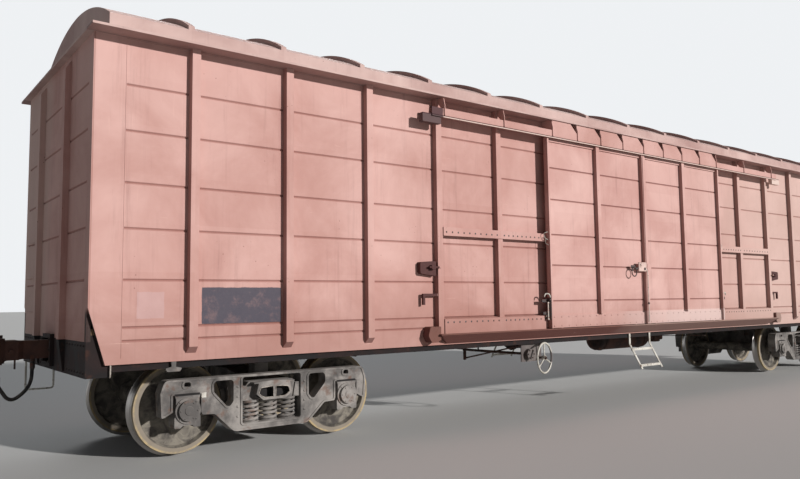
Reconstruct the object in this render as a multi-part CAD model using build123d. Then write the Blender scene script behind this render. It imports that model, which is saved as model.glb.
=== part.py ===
from build123d import *
import os

# Covered railway goods wagon with two sliding door leaves a side and two three-piece bogies.
# Millimetres. X runs along the wagon, Y across it, Z up. All heights here are counted from the
# rail head. save() lifts the pieces by the flange's depth, so that the flanges end at Z = 0.

# Track and wheels
flange_depth = 28
tread_radius = 457.5
axle_height = tread_radius
wheel_back = 720
rim_width = 130
rim_depth = 62
flange_width = 33
wheel_plate = 26
hub_radius = 134
hub_overhang = 28
axle_radius = 84
journal_radius = 65
journal_centre = 1018
journal_length = 160
journal_clearance = 0.5

# Body shell
frame_pitch = 1020
first_post = 3
last_post = 7
end_bay = 930
body_half = last_post * frame_pitch + end_bay
stop_post = (first_post + 1) * frame_pitch
wall_face = 1405
wall_thick = 40
wall_bottom = 965
eave_height = 3953
corner_cut_height = 1474
corner_cut_length = 155
post_width = 98
post_face_width = 84
post_depth = 70
post_foot = 1035
post_foot_slant = 62
end_post_y = 560
end_post_depth = 58
floor_top = 1286
floor_thick = 55

# Joints between the pressed wall sheets
wall_joints = [1170, 1290, 1717, 2186, 2604, 3085, 3512]
joint_width = 26
joint_depth = 13
corner_strip = 290

# Rub rails beside the doorway
rub_thick = 12
rub_gap = 2
rub_lap = 20
rub_low_top = 1290
rub_mid_bottom = 2280
rub_mid_top = 2385

# Doorway and door leaves
door_half = 1900
jamb_width = 90
header_bottom = 3660
leaf_outer = 2209
leaf_gap = 3
leaf_clearance = 6
leaf_sheet = 16
leaf_depth = 72
leaf_bottom_clearance = 8
leaf_top = 3712
leaf_edge = 30
leaf_mid = 1115
leaf_mid_width = 86
leaf_head = 48
leaf_kick_height = 172
leaf_kick_depth = 34
leaf_joints = [1470, 1955, 2375, 2860, 3300]
roller_radius = 45
roller_width = 24
roller_inset = 260
roller_clearance = 0.4

# Door fittings
handle_height = 1340
handle_length = 240
handle_reach = 34
handle_radius = 9
hasp_height = 1965
hasp_radius = 60
hasp_thick = 12
cover_strip_width = 46
cover_strip_thick = 8
catch_gap = 21
catch_length = 240
catch_bottom = 1790
catch_top = 1965
catch_face = 1468
pin_radius = 13
pin_reach = 27
pin_height = 1892
hook_bar = 30
hook_bar_length = 272
hook_bar_top = 1580
hook_bar_drop = 132
hook_bar_face = 1466
bracket_gap = 2
bracket_length = 191
bracket_top = 1190
bracket_bottom = 1004
bracket_face = 1522

# Lower door rail, an apron plate that carries the leaves
sill_top = 1100
sill_drop = 118
sill_overrun = 80
sill_end_cut = 200
sill_plate = 12
sill_reach = 1566
sill_foot = 22

# Upper door rail, a bar hung from the eave by hangers
guide_bottom = 3715
guide_height = 98
guide_face = 1588
guide_plate = 12
guide_overrun = 195
guide_lip = 26
guide_bead = 12
guide_bead_out = 7
guide_groove = 5
guide_end_gap = 45
guide_end_overrun = 330
guide_end_drop = 95
guide_end_back = 1508
hanger_thick = 10
hanger_lap = 14
hanger_pitch = 530
door_hangers = 4
notch_width = 150

# Roof
eave_thick = 22
eave_overhang = 204
end_overhang = 66
roof_step = 75
end_ledge = 216
roof_thick = 24
roof_spring = 4190
roof_rise = 340
hoop_width = 62
hoop_edge = 40
hoop_crown = 75
hoop_foot = 45

# Underframe
sill_web = 163
sill_plate_thick = 14
sill_flange = 120
centre_sill_bottom = 915
side_sill_depth = 90
side_sill_drop = 65
bearer_depth = 100
bearer_width = 60
end_sill_depth = 200
end_sill_bottom = 855
end_wall_bottom = 1174
mouth_half = 130
bogie_base = 12240
bolster_half = 190
bolster_bottom = 880
bolster_tip_bottom = 985
pivot_radius = 150
pivot_bottom = 795.5
pivot_clearance = 0.5
bearing_pad_y = 762
bearing_pad_depth = 18
bearing_gap = 12

# Bogie frame
wheelbase = 1850
side_frame_face = 1090
side_frame_thick = 146
side_frame_top = 757
side_frame_bottom = 195
side_frame_half = 1192
frame_rim = 20
frame_rim_depth = 9
jaw_width = 286
jaw_roof = 610
jaw_foot = 400
frame_window_half = 340
spring_seat = 262
spring_top = 490
spring_radius = 98
spring_pitch = 215
spring_coils = 5
spring_wire = 28
frame_window_lip = 22
bolster_end_half = 262
bolster_end_top = 680
bolster_end_setback = 40
nose_face = 1140
nose_lip = 20
nose_lip_half = 236
nose_hole_depth = 75
wedge_top = 640
wedge_slope = 26
axle_box_width = 262
axle_box_bottom = 292
axle_box_face = 1104
axle_box_gap = 2
axle_cap_radius = 100
axle_ring_radius = 128
axle_cap_face = 1148
shoe_gap = 7
shoe_thick = 44
shoe_width = 76
beam_height = 40

# Ends
coupler_height = 1060
coupler_reach = 610
coupler_shank = 65
coupler_depth = 180
claw_depth = 290
butt_inset = 500
draft_gear_length = 560

# Brake gear and fittings
reservoir_radius = 165
reservoir_length = 1200
reservoir_x = 510
reservoir_y = -620
reservoir_height = 830
cylinder_radius = 178
cylinder_length = 560
cylinder_x = -510
cylinder_y = 560
cylinder_height = 850
pipe_radius = 21
pipe_y = 330
pipe_height = 1010
pipe_clearance = 0.4
pipe_reach = 60
handwheel_x = -2208
handwheel_y = 1410
handwheel_height = 707
handwheel_radius = 200
handwheel_rim = 13
handwheel_spokes = 3
handwheel_turn = -14
gearbox_x = -2430
step_left = -250
step_right = 262
step_bend = 800
step_foot = 440
step_out = 1592
step_top_y = 1380
tread_heights = [490, 722]
hook_x = 7298
hook_drop = 94


def block(x0, x1, y0, y1, z0, z1):
    """Box between two corners."""
    size = Box(abs(x1 - x0), abs(y1 - y0), abs(z1 - z0))
    return Pos((x0 + x1) / 2, (y0 + y1) / 2, (z0 + z1) / 2) * size


def flat(points):
    """Closed outline of straight edges."""
    return Polygon(*points, align=(Align.NONE, Align.NONE))


def rounded(table):
    """Closed outline from rows of (across, up, corner radius)."""
    outline = flat([(across_row, up) for across_row, up, radius in table])
    for size in sorted({radius for across_row, up, radius in table if radius}):
        marks = [(across_row, up) for across_row, up, radius in table if radius == size]
        corners = [v for v in outline.vertices()
                   if any(abs(v.X - a) < 0.01 and abs(v.Y - u) < 0.01 for a, u in marks)]
        outline = fillet(corners, size)
    return outline


def carry_y(outline, y0, y1):
    """An (x, z) outline carried along Y from y0 to y1."""
    return Pos(0, min(y0, y1), 0) * extrude(Plane.XZ * outline, amount=abs(y1 - y0), dir=(0, 1, 0))


def carry_x(outline, x0, x1):
    """A (y, z) outline carried along X from x0 to x1."""
    return Pos(min(x0, x1), 0, 0) * extrude(Plane.YZ * outline, amount=abs(x1 - x0), dir=(1, 0, 0))


def rod_y(radius, y0, y1, x, z):
    """Round bar along Y."""
    return Pos(x, (y0 + y1) / 2, z) * Rot(90, 0, 0) * Cylinder(radius, abs(y1 - y0))


def rod_x(radius, x0, x1, y, z):
    """Round bar along X."""
    return Pos((x0 + x1) / 2, y, z) * Rot(0, 90, 0) * Cylinder(radius, abs(x1 - x0))


def rod_z(radius, z0, z1, x, y):
    """Round bar along Z."""
    return Pos(x, y, (z0 + z1) / 2) * Cylinder(radius, abs(z1 - z0))


def across(shape):
    """Copy on the other side of the wagon."""
    return mirror(shape, about=Plane.XZ)


def along(shape):
    """Copy at the other end of the wagon."""
    return mirror(shape, about=Plane.YZ)


def save(name, *shapes):
    """Writes every solid of the shapes as one node, lifted from the rail head's level."""
    solids = [Pos(0, 0, flange_depth) * solid for shape in shapes for solid in shape.solids()]
    export_step(Compound(solids), os.path.join("parts", name + ".step"))


# Faces and edges that several pieces share
wall_inner = wall_face - wall_thick
post_face = wall_face + post_depth
rub_face = post_face + rub_thick
leaf_back = rub_face + leaf_clearance
leaf_face = leaf_back + leaf_depth
leaf_bottom = sill_top + leaf_bottom_clearance
rub_end = stop_post - post_face_width / 2 - rub_gap
catch_start = stop_post + post_width / 2 + catch_gap
catch_end = catch_start + catch_length
pin_tip = stop_post + pin_reach
hook_bar_end = stop_post + hook_bar_length
bracket_start = stop_post + post_width / 2 + bracket_gap
bracket_end = bracket_start + bracket_length
sill_half = stop_post + sill_overrun
guide_half = stop_post + guide_overrun
guide_end_start = stop_post + guide_end_gap
guide_end = stop_post + guide_end_overrun
floor_bottom = floor_top - floor_thick
eave_half_width = wall_face + eave_overhang
eave_half_length = body_half + end_overhang
roof_half_width = wall_face - roof_step
roof_half_length = eave_half_length - end_ledge
end_sill_back = body_half - end_sill_depth
bogie_centre = bogie_base / 2
frame_inner = side_frame_face - side_frame_thick
spring_y = side_frame_face - spring_radius - 8
guide_top = guide_bottom + guide_height
coupler_face = body_half + coupler_reach
coupler_butt = body_half - butt_inset


# Body shell

def joint_groove(x0, x1, height, face):
    """V groove along a sheet joint, cut into a face whose outside is +Y."""
    z = height
    half = joint_width / 2
    return carry_x(flat([(face - joint_depth, z), (face + 1, z + half + 2), (face + 1, z - half - 2)]),
                   x0, x1)


def post(x):
    """Wall post of hat section, which ends in a slanted foot or on the lower door rail."""
    half = post_width / 2
    face_half = post_face_width / 2
    section = flat([(x - half, wall_face), (x - face_half, post_face), (x + face_half, post_face),
                    (x + half, wall_face)])
    foot = sill_top if x < sill_half else post_foot
    shape = Pos(0, 0, foot) * extrude(section, amount=eave_height - foot, dir=(0, 0, 1))
    if x < sill_half:
        return shape
    slant = flat([(wall_face - 1, foot - 1), (post_face + 1, foot - 1),
                  (post_face + 1, foot + post_foot_slant)])
    return shape - carry_x(slant, x - half - 1, x + half + 1)


def rub_rails():
    """Ledge at mid height and plate at the foot that keep an open leaf off the posts."""
    start = door_half + jamb_width - rub_lap
    ledge = flat([(wall_face, rub_mid_top - 30), (post_face - 6, rub_mid_top), (rub_face, rub_mid_top),
                  (rub_face, rub_mid_bottom), (post_face, rub_mid_bottom),
                  (post_face, rub_mid_top - rub_thick),
                  (wall_face, rub_mid_top - 30 - rub_thick)])
    foot = flat([(wall_face, rub_low_top), (rub_face, rub_low_top - 16), (rub_face, sill_top),
                 (wall_face, sill_top)])
    return carry_x(ledge, start, rub_end) + carry_x(foot, start, rub_end)


def door_catch():
    """Catch box with its pin, and a hook bar below it, beyond the last post that a leaf reaches."""
    outline = rounded([(catch_start, catch_bottom, 12), (catch_end, catch_bottom + 26, 30),
                       (catch_end, catch_top - 12, 16),
                       (catch_start + 60, catch_top, 10), (catch_start, catch_top, 10)])
    box = carry_y(outline, wall_face, catch_face)
    boss_out = post_face + 2 * pin_radius + 14
    boss = block(catch_start + 40, catch_start + 100, wall_face, boss_out, pin_height - 24,
                 pin_height + 24)
    pin = rod_x(pin_radius, pin_tip, catch_start + 130, post_face + pin_radius + 12, pin_height)
    back = hook_bar_face - hook_bar
    root = stop_post + post_width / 2 - hook_bar
    bar = block(root, hook_bar_end, back, hook_bar_face, hook_bar_top - hook_bar, hook_bar_top)
    leg = block(hook_bar_end - hook_bar, hook_bar_end, back, hook_bar_face,
                hook_bar_top - hook_bar_drop, hook_bar_top)
    return box + boss + pin + bar + leg


def wall_quarter():
    """Side wall from the doorway to the end, on the +X +Y quarter."""
    outline = flat([(door_half, wall_bottom), (body_half - corner_cut_length, wall_bottom),
                    (body_half, corner_cut_height), (body_half, eave_height), (door_half, eave_height)])
    wall = carry_y(outline, wall_inner, wall_face)
    for height in wall_joints:
        wall -= joint_groove(door_half + jamb_width, body_half - corner_strip, height, wall_face)
    for place in range(first_post, last_post + 1):
        wall += post(place * frame_pitch)
    jamb = block(door_half, door_half + jamb_width, wall_face, post_face, sill_top, header_bottom)
    return wall + jamb + rub_rails() + door_catch()


def door_header():
    """Wall above the doorway."""
    return block(-door_half, door_half, wall_inner, wall_face, header_bottom, eave_height)


def doorway_sill():
    """Wall strip under the doorway, from the wall's lower edge to the lower door rail."""
    return block(-door_half, door_half, wall_inner, wall_face, wall_bottom, sill_top)


def end_wall():
    """End wall with sheet joints and two tapered posts, at the +X end."""
    wall = block(body_half - wall_thick, body_half, -wall_inner, wall_inner, end_wall_bottom,
                 eave_height)
    half = joint_width / 2
    for height in wall_joints[2:]:
        z = height
        groove = flat([(body_half - joint_depth, z), (body_half + 1, z + half + 2),
                       (body_half + 1, z - half - 2)])
        wall -= carry_y(groove, -wall_inner + post_width, wall_inner - post_width)
    face = body_half + end_post_depth
    side = flat([(body_half, end_wall_bottom), (face, end_wall_bottom), (face, eave_height - 140),
                 (body_half + 8, eave_height - 60), (body_half, eave_height - 60)])
    for y in (-end_post_y, end_post_y):
        wall += carry_y(side, y - post_width / 2, y + post_width / 2)
    return wall


def roof_section(half, low, spring, rise):
    """Roof outline across the wagon: upright sides and a flat arch."""
    sides = Polyline((-half, spring), (-half, low), (half, low), (half, spring))
    arch = ThreePointArc((half, spring), (0, spring + rise), (-half, spring))
    return Plane.YZ * make_face([sides, arch])


def roof():
    """Arched sheet with upright sides, end gables and a hoop over each frame."""
    low = eave_height + eave_thick
    outer = extrude(roof_section(roof_half_width, low, roof_spring, roof_rise), amount=roof_half_length,
                    both=True)
    hollow = roof_section(roof_half_width - roof_thick, low - 1, roof_spring, roof_rise - roof_thick)
    shell = outer - extrude(hollow, amount=roof_half_length - roof_thick, both=True)
    arch = roof_section(roof_half_width, roof_spring - hoop_foot, roof_spring + hoop_edge,
                        roof_rise + hoop_crown - hoop_edge)
    hoop = extrude(arch, amount=hoop_width / 2, both=True) - outer
    hoops = [Pos(place * frame_pitch, 0, 0) * hoop for place in range(-last_post, last_post + 1)]
    return shell.fuse(*hoops)


def side_eave():
    """Flat ledge along the +Y side of the roof's foot, with a turned-down edge."""
    ledge = block(-eave_half_length, eave_half_length, roof_half_width - roof_thick, eave_half_width,
                  eave_height, eave_height + eave_thick)
    return ledge


def end_eave():
    """Flat ledge across the +X end."""
    inside = roof_half_width - roof_thick
    return block(roof_half_length - roof_thick, eave_half_length, -inside, inside,
                 eave_height, eave_height + eave_thick)


# Door rails and leaves

def hanger(x, root):
    """Hanger plate from the eave down over the face of the upper door rail."""
    front = guide_face + hanger_lap
    outline = rounded([(root, eave_height, 0), (root, eave_height - 60, 0),
                       (guide_face - guide_plate - 30, guide_top, 12),
                       (guide_face - 1, guide_top, 0), (guide_face - 1, guide_bottom, 0),
                       (front, guide_bottom, 5),
                       (front, guide_top + 40, 20), (front - 24, eave_height, 0)])
    return carry_x(outline, x - hanger_thick / 2, x + hanger_thick / 2)


def guide_rail():
    """Upper door rail: a lipped bar, a cover plate over the doorway and its hangers."""
    back = guide_face - guide_plate
    bar = block(-guide_half, guide_half, back, guide_face, guide_bottom, guide_top)
    bar += block(-guide_half, guide_half, back - guide_lip, back, guide_top - guide_plate, guide_top)
    bar += block(-guide_half, guide_half, back, guide_face + guide_bead_out, guide_bottom - guide_bead,
                 guide_bottom)
    bar -= block(-guide_half - 1, guide_half + 1, guide_face - guide_groove,
                 guide_face + guide_bead_out + 1,
                 guide_bottom, guide_bottom + guide_groove + 2)
    cover_half = door_hangers * hanger_pitch
    bar += block(-cover_half, cover_half, back, guide_face, guide_top, eave_height)
    places = [place * hanger_pitch for place in range(-door_hangers, door_hangers + 1)]
    for x in places:
        notch = flat([(x - notch_width, eave_height + 1), (x - hanger_thick, eave_height + 1),
                      (x - hanger_thick, guide_top + 12)])
        bar -= carry_y(notch, back - 1, guide_face + 1)
        bar += hanger(x, wall_face)
    for side in (-1, 1):
        for place in (first_post, first_post + 1):
            bar += hanger(side * place * frame_pitch, post_face)
        bar += block(side * guide_end_start, side * guide_end, guide_end_back, back,
                     guide_bottom - guide_end_drop, guide_bottom + guide_plate)
    return bar


def sill_rail():
    """Apron plate under the leaves, with slanted ends and end plates."""
    bottom = sill_top - sill_drop
    skin = flat([(wall_face, sill_top), (sill_reach, sill_top), (sill_reach, sill_top - sill_plate),
                 (wall_face + sill_foot, bottom), (wall_face, bottom)])
    hollow = flat([(wall_face - 1, sill_top - sill_plate),
                   (sill_reach - 3 * sill_plate, sill_top - sill_plate),
                   (wall_face + sill_foot - sill_plate / 2, bottom + sill_plate),
                   (wall_face - 1, bottom + sill_plate)])
    apron = carry_x(skin, -sill_half, sill_half) - carry_x(hollow, -sill_half - 1, sill_half + 1)
    for side in (-1, 1):
        end = side * (sill_half + 1)
        wedge = flat([(end, sill_top - sill_plate), (end, bottom - 1),
                      (side * (sill_half - sill_end_cut), bottom - 1)])
        apron -= carry_y(wedge, wall_face - 1, sill_reach + 1)
        bracket = rounded([(side * bracket_start, bracket_bottom + 30, 0),
                           (side * (bracket_start + 60), bracket_bottom, 0),
                           (side * (bracket_end - 50), bracket_bottom, 40),
                           (side * bracket_end, bracket_bottom + 80, 40),
                           (side * (bracket_end - 30), bracket_top, 24),
                           (side * bracket_start, bracket_top, 0)])
        apron += carry_y(bracket, wall_face, bracket_face)
    return apron


def door_leaf(strip_side):
    """Sliding leaf on the +X +Y quarter. strip_side is 1 where it has the cover strip and hasp."""
    leaf = block(leaf_gap, leaf_outer, leaf_back, leaf_back + leaf_sheet, leaf_bottom, leaf_top)
    sheet_face = leaf_back + leaf_sheet
    for height in leaf_joints:
        leaf -= joint_groove(leaf_gap + leaf_edge, leaf_outer - leaf_edge, height, sheet_face)
    kick_top = leaf_bottom + leaf_kick_height
    leaf += block(leaf_gap, leaf_outer, leaf_back, leaf_back + leaf_kick_depth, leaf_bottom, kick_top)
    leaf += block(leaf_gap, leaf_outer, leaf_back, leaf_back + leaf_kick_depth, leaf_top - leaf_head,
                  leaf_top)
    leaf += block(leaf_gap, leaf_gap + leaf_edge, leaf_back, leaf_face, leaf_bottom, leaf_top)
    leaf += block(leaf_outer - leaf_edge, leaf_outer, leaf_back, leaf_face, leaf_bottom, leaf_top)
    half = leaf_mid_width / 2
    section = flat([(leaf_mid - half, sheet_face), (leaf_mid - half + 7, leaf_face),
                    (leaf_mid + half - 7, leaf_face),
                    (leaf_mid + half, sheet_face)])
    leaf += Pos(0, 0, kick_top) * extrude(section, amount=leaf_top - kick_top, dir=(0, 0, 1))
    roller_z = sill_top + roller_clearance + roller_radius
    for x in (leaf_gap + roller_inset, leaf_outer - roller_inset):
        leaf += rod_y(roller_radius, leaf_back + 2, leaf_back + 2 + roller_width, x, roller_z)
    leaf += pull_handle()
    if strip_side:
        leaf += block(leaf_gap - cover_strip_width / 2,
                      leaf_gap + cover_strip_width / 2 + leaf_edge / 2,
                      leaf_face, leaf_face + cover_strip_thick, leaf_bottom + 20, guide_bottom - 40)
        disc = rod_y(hasp_radius, leaf_face, leaf_face + hasp_thick, leaf_gap + leaf_edge, hasp_height)
        leaf += disc & block(0, leaf_outer, leaf_face, leaf_face + hasp_thick,
                             hasp_height - hasp_radius,
                             hasp_height + hasp_radius)
    return leaf


def pull_handle():
    """Bar handle on the leaf's outer edge, clear of the wall along which the leaf slides."""
    x = leaf_outer + handle_reach
    y = (leaf_back + leaf_face) / 2
    low = handle_height - handle_length / 2
    high = handle_height + handle_length / 2
    arm = handle_radius - 1
    bar = rod_z(handle_radius, low, high, x, y)
    for z in (low, high - 2 * handle_radius):
        bar += block(leaf_outer - 1, x, y - arm, y + arm, z + 2, z + 2 * handle_radius - 2)
    return bar


# Underframe

def floor():
    """Deck of the load space."""
    half = body_half - wall_thick
    return block(-half, half, -wall_inner, wall_inner, floor_bottom, floor_top)


def centre_sill():
    """Two webs with lower flanges and a top plate, open below."""
    end = end_sill_back
    web = block(-end, end, sill_web - sill_plate_thick, sill_web, centre_sill_bottom, floor_bottom)
    flange = block(-end, end, sill_web, sill_web + sill_flange, centre_sill_bottom,
                   centre_sill_bottom + sill_plate_thick)
    top = block(-end, end, -sill_web, sill_web, floor_bottom - sill_plate_thick, floor_bottom)
    half = web + flange
    return top + half + across(half)


def side_sill():
    """Channel behind the wall's lower strip, on the +Y side."""
    low = wall_bottom - side_sill_drop
    back = wall_inner - side_sill_depth
    t = sill_plate_thick
    section = flat([(wall_inner, low), (wall_inner, floor_bottom), (back, floor_bottom),
                    (back, floor_bottom - t),
                    (wall_inner - t, floor_bottom - t), (wall_inner - t, low + t), (back, low + t),
                    (back, low)])
    return carry_x(section, -end_sill_back, end_sill_back)


def end_sill(pipe_side):
    """Beam across the +X end, hollow behind, with the coupler's mouth and the posts' feet.
    pipe_side is the side of the wagon on which the train pipe passes."""
    t = sill_plate_thick
    beam = block(end_sill_back, body_half, -wall_inner, wall_inner, end_sill_bottom, end_wall_bottom)
    beam += block(end_sill_back, body_half - wall_thick, -wall_inner, wall_inner, end_wall_bottom,
                  floor_bottom)
    for side in (-1, 1):
        beam -= block(end_sill_back - 1, body_half - t, side * (mouth_half + t),
                      side * (wall_inner - t),
                      end_sill_bottom + t, floor_bottom - t - 40)
    low = coupler_height - mouth_half
    beam -= block(end_sill_back - 1, body_half + 1, -mouth_half, mouth_half, low,
                  coupler_height + mouth_half)
    face = body_half + end_post_depth
    foot = flat([(body_half, end_sill_bottom + 20), (body_half + 16, end_sill_bottom + 20),
                 (face, end_wall_bottom),
                 (body_half, end_wall_bottom)])
    for y in (-end_post_y, end_post_y):
        beam += carry_y(foot, y - post_width / 2, y + post_width / 2)
    collar = block(body_half, body_half + 40, -mouth_half - 40, mouth_half + 40, low - 36,
                   coupler_height + mouth_half + 20)
    collar -= block(body_half - 1, body_half + 41, -mouth_half, mouth_half, low,
                    coupler_height + mouth_half - 20)
    beam += collar
    return beam - rod_x(pipe_radius + pipe_clearance, end_sill_back - 1, body_half + 1,
                        pipe_side * pipe_y, pipe_height)


def body_bolster():
    """Tapered cross beam over the +X bogie, with the centre plate and side bearing pads."""
    t = sill_plate_thick
    inner = sill_web + sill_flange
    tip = wall_inner - side_sill_depth
    wing = flat([(sill_web, centre_sill_bottom + t), (inner, centre_sill_bottom + t),
                 (inner + 5, bolster_bottom),
                 (bearing_pad_y + 90, bolster_bottom), (tip, bolster_tip_bottom), (tip, floor_bottom),
                 (sill_web, floor_bottom)])
    under = block(-bolster_half, bolster_half, -inner - 5, inner + 5, bolster_bottom,
                  centre_sill_bottom)
    pad = block(-70, 70, bearing_pad_y - 90, bearing_pad_y + 90, bolster_bottom - bearing_pad_depth,
                bolster_bottom)
    pivot = rod_z(pivot_radius, pivot_bottom, bolster_bottom, 0, 0)
    pivot += rod_z(pivot_radius + 60, bolster_bottom - 22, bolster_bottom, 0, 0)
    half = carry_x(wing, -bolster_half, bolster_half) + pad
    beam = half + across(half) + under + pivot
    beam -= rod_x(pipe_radius + pipe_clearance, -bolster_half - 1, bolster_half + 1, pipe_y,
                  pipe_height)
    return Pos(bogie_centre, 0, 0) * beam


def cross_bearers():
    """Shallow joists between the centre sill and the side sills at each frame."""
    joists = []
    for place in range(-last_post, last_post + 1):
        x = place * frame_pitch
        if abs(abs(x) - bogie_centre) < bolster_half:
            continue
        joist = block(x - bearer_width / 2, x + bearer_width / 2, sill_web,
                      wall_inner - side_sill_depth,
                      floor_bottom - bearer_depth, floor_bottom)
        joists += [joist, across(joist)]
    return joists


def draft_gear():
    """Cushion block between the centre sill's webs, behind the +X coupler's shank."""
    inside = sill_web - sill_plate_thick
    return block(coupler_butt - draft_gear_length, coupler_butt, -inside, inside,
                 coupler_height - 110, coupler_height + 110)


def coupler():
    """Automatic coupler at the +X end: shank, head, large claw, small claw and lock."""
    f = coupler_face
    s = coupler_shank
    body = rounded([(coupler_butt, -s, 0), (f - 350, -s, 0), (f - 300, -140, 20), (f - 190, -150, 0),
                    (f - 170, 110, 0), (f - 300, 120, 20), (f - 350, s, 0), (coupler_butt, s, 0)])
    large = rounded([(f - 200, -150, 0), (f - 40, -196, 16), (f, -150, 20), (f - 20, -100, 12),
                     (f - 130, -50, 20),
                     (f - 180, -20, 0)])
    small = rounded([(f - 180, 50, 0), (f - 120, 60, 10), (f - 40, 70, 14), (f - 10, 120, 14),
                     (f - 30, 168, 20),
                     (f - 120, 176, 20), (f - 180, 110, 0)])
    lock = flat([(f - 190, -20), (f - 95, -10), (f - 90, 34), (f - 190, 44)])
    head = Pos(0, 0, coupler_height - coupler_depth / 2) * extrude(body, amount=coupler_depth,
                                                                   dir=(0, 0, 1))
    for outline, depth in ((large, claw_depth), (small, claw_depth - 50), (lock, coupler_depth - 40)):
        head += Pos(0, 0, coupler_height - depth / 2) * extrude(outline, amount=depth, dir=(0, 0, 1))
    return head


# Running gear, each piece at a bogie centre of X = 0

def wheelset():
    """Axle with two flanged wheels, turned as one profile about Y."""
    out = wheel_back + rim_width
    rim_in = tread_radius - rim_depth
    hub_out = out + hub_overhang
    web = wheel_back + rim_width / 2 - wheel_plate / 2
    half = [(journal_radius, journal_centre + journal_length / 2), (journal_radius, hub_out + 20),
            (axle_radius, hub_out + 20), (axle_radius, hub_out), (hub_radius, hub_out),
            (hub_radius, web + 2 * wheel_plate), (rim_in - 20, web + wheel_plate), (rim_in, out),
            (tread_radius - 6, out), (tread_radius + 2, wheel_back + flange_width + 14),
            (tread_radius + flange_depth - 8, wheel_back + flange_width - 12),
            (tread_radius + flange_depth, wheel_back + flange_width / 2),
            (tread_radius + flange_depth - 8, wheel_back + 4), (tread_radius, wheel_back),
            (rim_in, wheel_back), (rim_in - 20, web), (hub_radius, web - wheel_plate / 2),
            (hub_radius, wheel_back - 10), (axle_radius, wheel_back - 10)]
    tip = [(0, journal_centre + journal_length / 2)]
    points = tip + half + [(r, -y) for r, y in reversed(half)] + [(0, -tip[0][1])]
    return Pos(0, 0, axle_height) * revolve(flat(points), Axis.Y, 360)


def side_frame():
    """Cast side frame: top member, jaws over the axle boxes, columns, spring seat and belly."""
    axle = wheelbase / 2
    jaw_out = axle + jaw_width / 2
    jaw_in = axle - jaw_width / 2
    end = side_frame_half
    # Half outline from the belly round the jaw to the top: along, up, corner radius
    half = [(430, side_frame_bottom, 110), (640, jaw_foot - 6, 40), (jaw_in - 14, jaw_foot, 12),
            (jaw_in, jaw_foot + 30, 0),
            (jaw_in, jaw_roof, 8), (jaw_out, jaw_roof, 8), (jaw_out, jaw_foot + 50, 0),
            (end - 44, jaw_foot + 6, 0),
            (end - 14, jaw_foot, 10), (end, side_frame_top - 120, 30), (end - 42, side_frame_top, 60)]
    table = half + [(-x, z, r) for x, z, r in reversed(half)]
    window = rounded([(w * frame_window_half, z, 24) for w, z in
                      ((-1, spring_seat), (1, spring_seat), (1, side_frame_top - frame_window_lip),
                       (-1, side_frame_top - frame_window_lip))])
    # Triangular window beside each column, and the slot over each jaw
    side_hole = [(440, 500, 30), (492, 436, 34), (652, 612, 50),
                 (652, side_frame_top - 38, 44), (440, side_frame_top - 38, 36)]
    slot = [(axle - 34, 682, 14), (axle + 34, 682, 14), (axle + 34, 728, 22), (axle - 34, 728, 22)]
    outline = rounded(table) - window
    for hole in (side_hole, slot):
        outline = outline - rounded(hole) - rounded([(-x, z, r) for x, z, r in reversed(hole)])
    frame = carry_y(outline, frame_inner, side_frame_face)
    pocket = offset(outline, amount=-frame_rim, kind=Kind.INTERSECTION)
    return frame - carry_y(pocket, side_frame_face - frame_rim_depth, side_frame_face + 1)


def bogie_bolster():
    """Cross beam between the side frames, deep in the middle, with the centre bowl."""
    deep = 420
    top = 770
    spring_in = spring_y - spring_radius - 10
    end_in = frame_inner - 20
    profile = flat([(-end_in, spring_top), (-spring_in, spring_top), (-420, deep), (420, deep),
                    (spring_in, spring_top),
                    (end_in, spring_top), (end_in, bolster_end_top), (320, top), (-320, top),
                    (-end_in, bolster_end_top)])
    beam = carry_x(profile, -bolster_half, bolster_half)
    half_low = bolster_end_half
    half_top = bolster_end_half + wedge_slope
    end = rounded([(-half_low, spring_top, 0), (half_low, spring_top, 0), (half_top, wedge_top, 0),
                   (half_top - 30, bolster_end_top, 30), (-half_top + 30, bolster_end_top, 30),
                   (-half_top, wedge_top, 0)])
    block_end = carry_y(end, end_in, side_frame_face - bolster_end_setback)
    # Six-sided nose outside the side frame's window, with a lip on top and two deep recesses
    lip_bottom = bolster_end_top - nose_lip
    right = [(0, spring_top, 0), (130, spring_top, 12), (208, 556, 16), (182, lip_bottom, 0),
             (nose_lip_half, lip_bottom, 6), (nose_lip_half, bolster_end_top - 6, 6),
             (0, bolster_end_top + 6, 0)]
    outline = rounded(right + [(-x, z, r) for x, z, r in reversed(right[1:-1])])
    nose = carry_y(outline, side_frame_face - bolster_end_setback - 30, nose_face)
    for side in (-1, 1):
        hole = rounded([(side * x, z, 12) for x, z in
                        ((14, 514), (118, 514), (184, 557), (160, 616), (14, 628))])
        nose -= carry_y(hole, nose_face - nose_hole_depth, nose_face + 1)
    block_end += nose
    bearing = block(-80, 80, bearing_pad_y - 70, bearing_pad_y + 70, 680,
                    bolster_bottom - bearing_pad_depth - bearing_gap)
    bowl = rod_z(pivot_radius + 28, top, pivot_bottom + 26, 0, 0)
    bowl -= rod_z(pivot_radius + 6, pivot_bottom - pivot_clearance, pivot_bottom + 30, 0, 0)
    half = block_end + bearing
    return beam + half + across(half) + bowl


def wedges():
    """Friction wedges between the bolster's end and the columns of the +Y side frame."""
    outline = flat([(bolster_end_half, spring_top), (frame_window_half, spring_top),
                    (frame_window_half, wedge_top),
                    (bolster_end_half + wedge_slope, wedge_top)])
    wedge = carry_y(outline, frame_inner + 14, side_frame_face - 24)
    return [wedge, mirror(wedge, about=Plane.YZ)]


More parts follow.
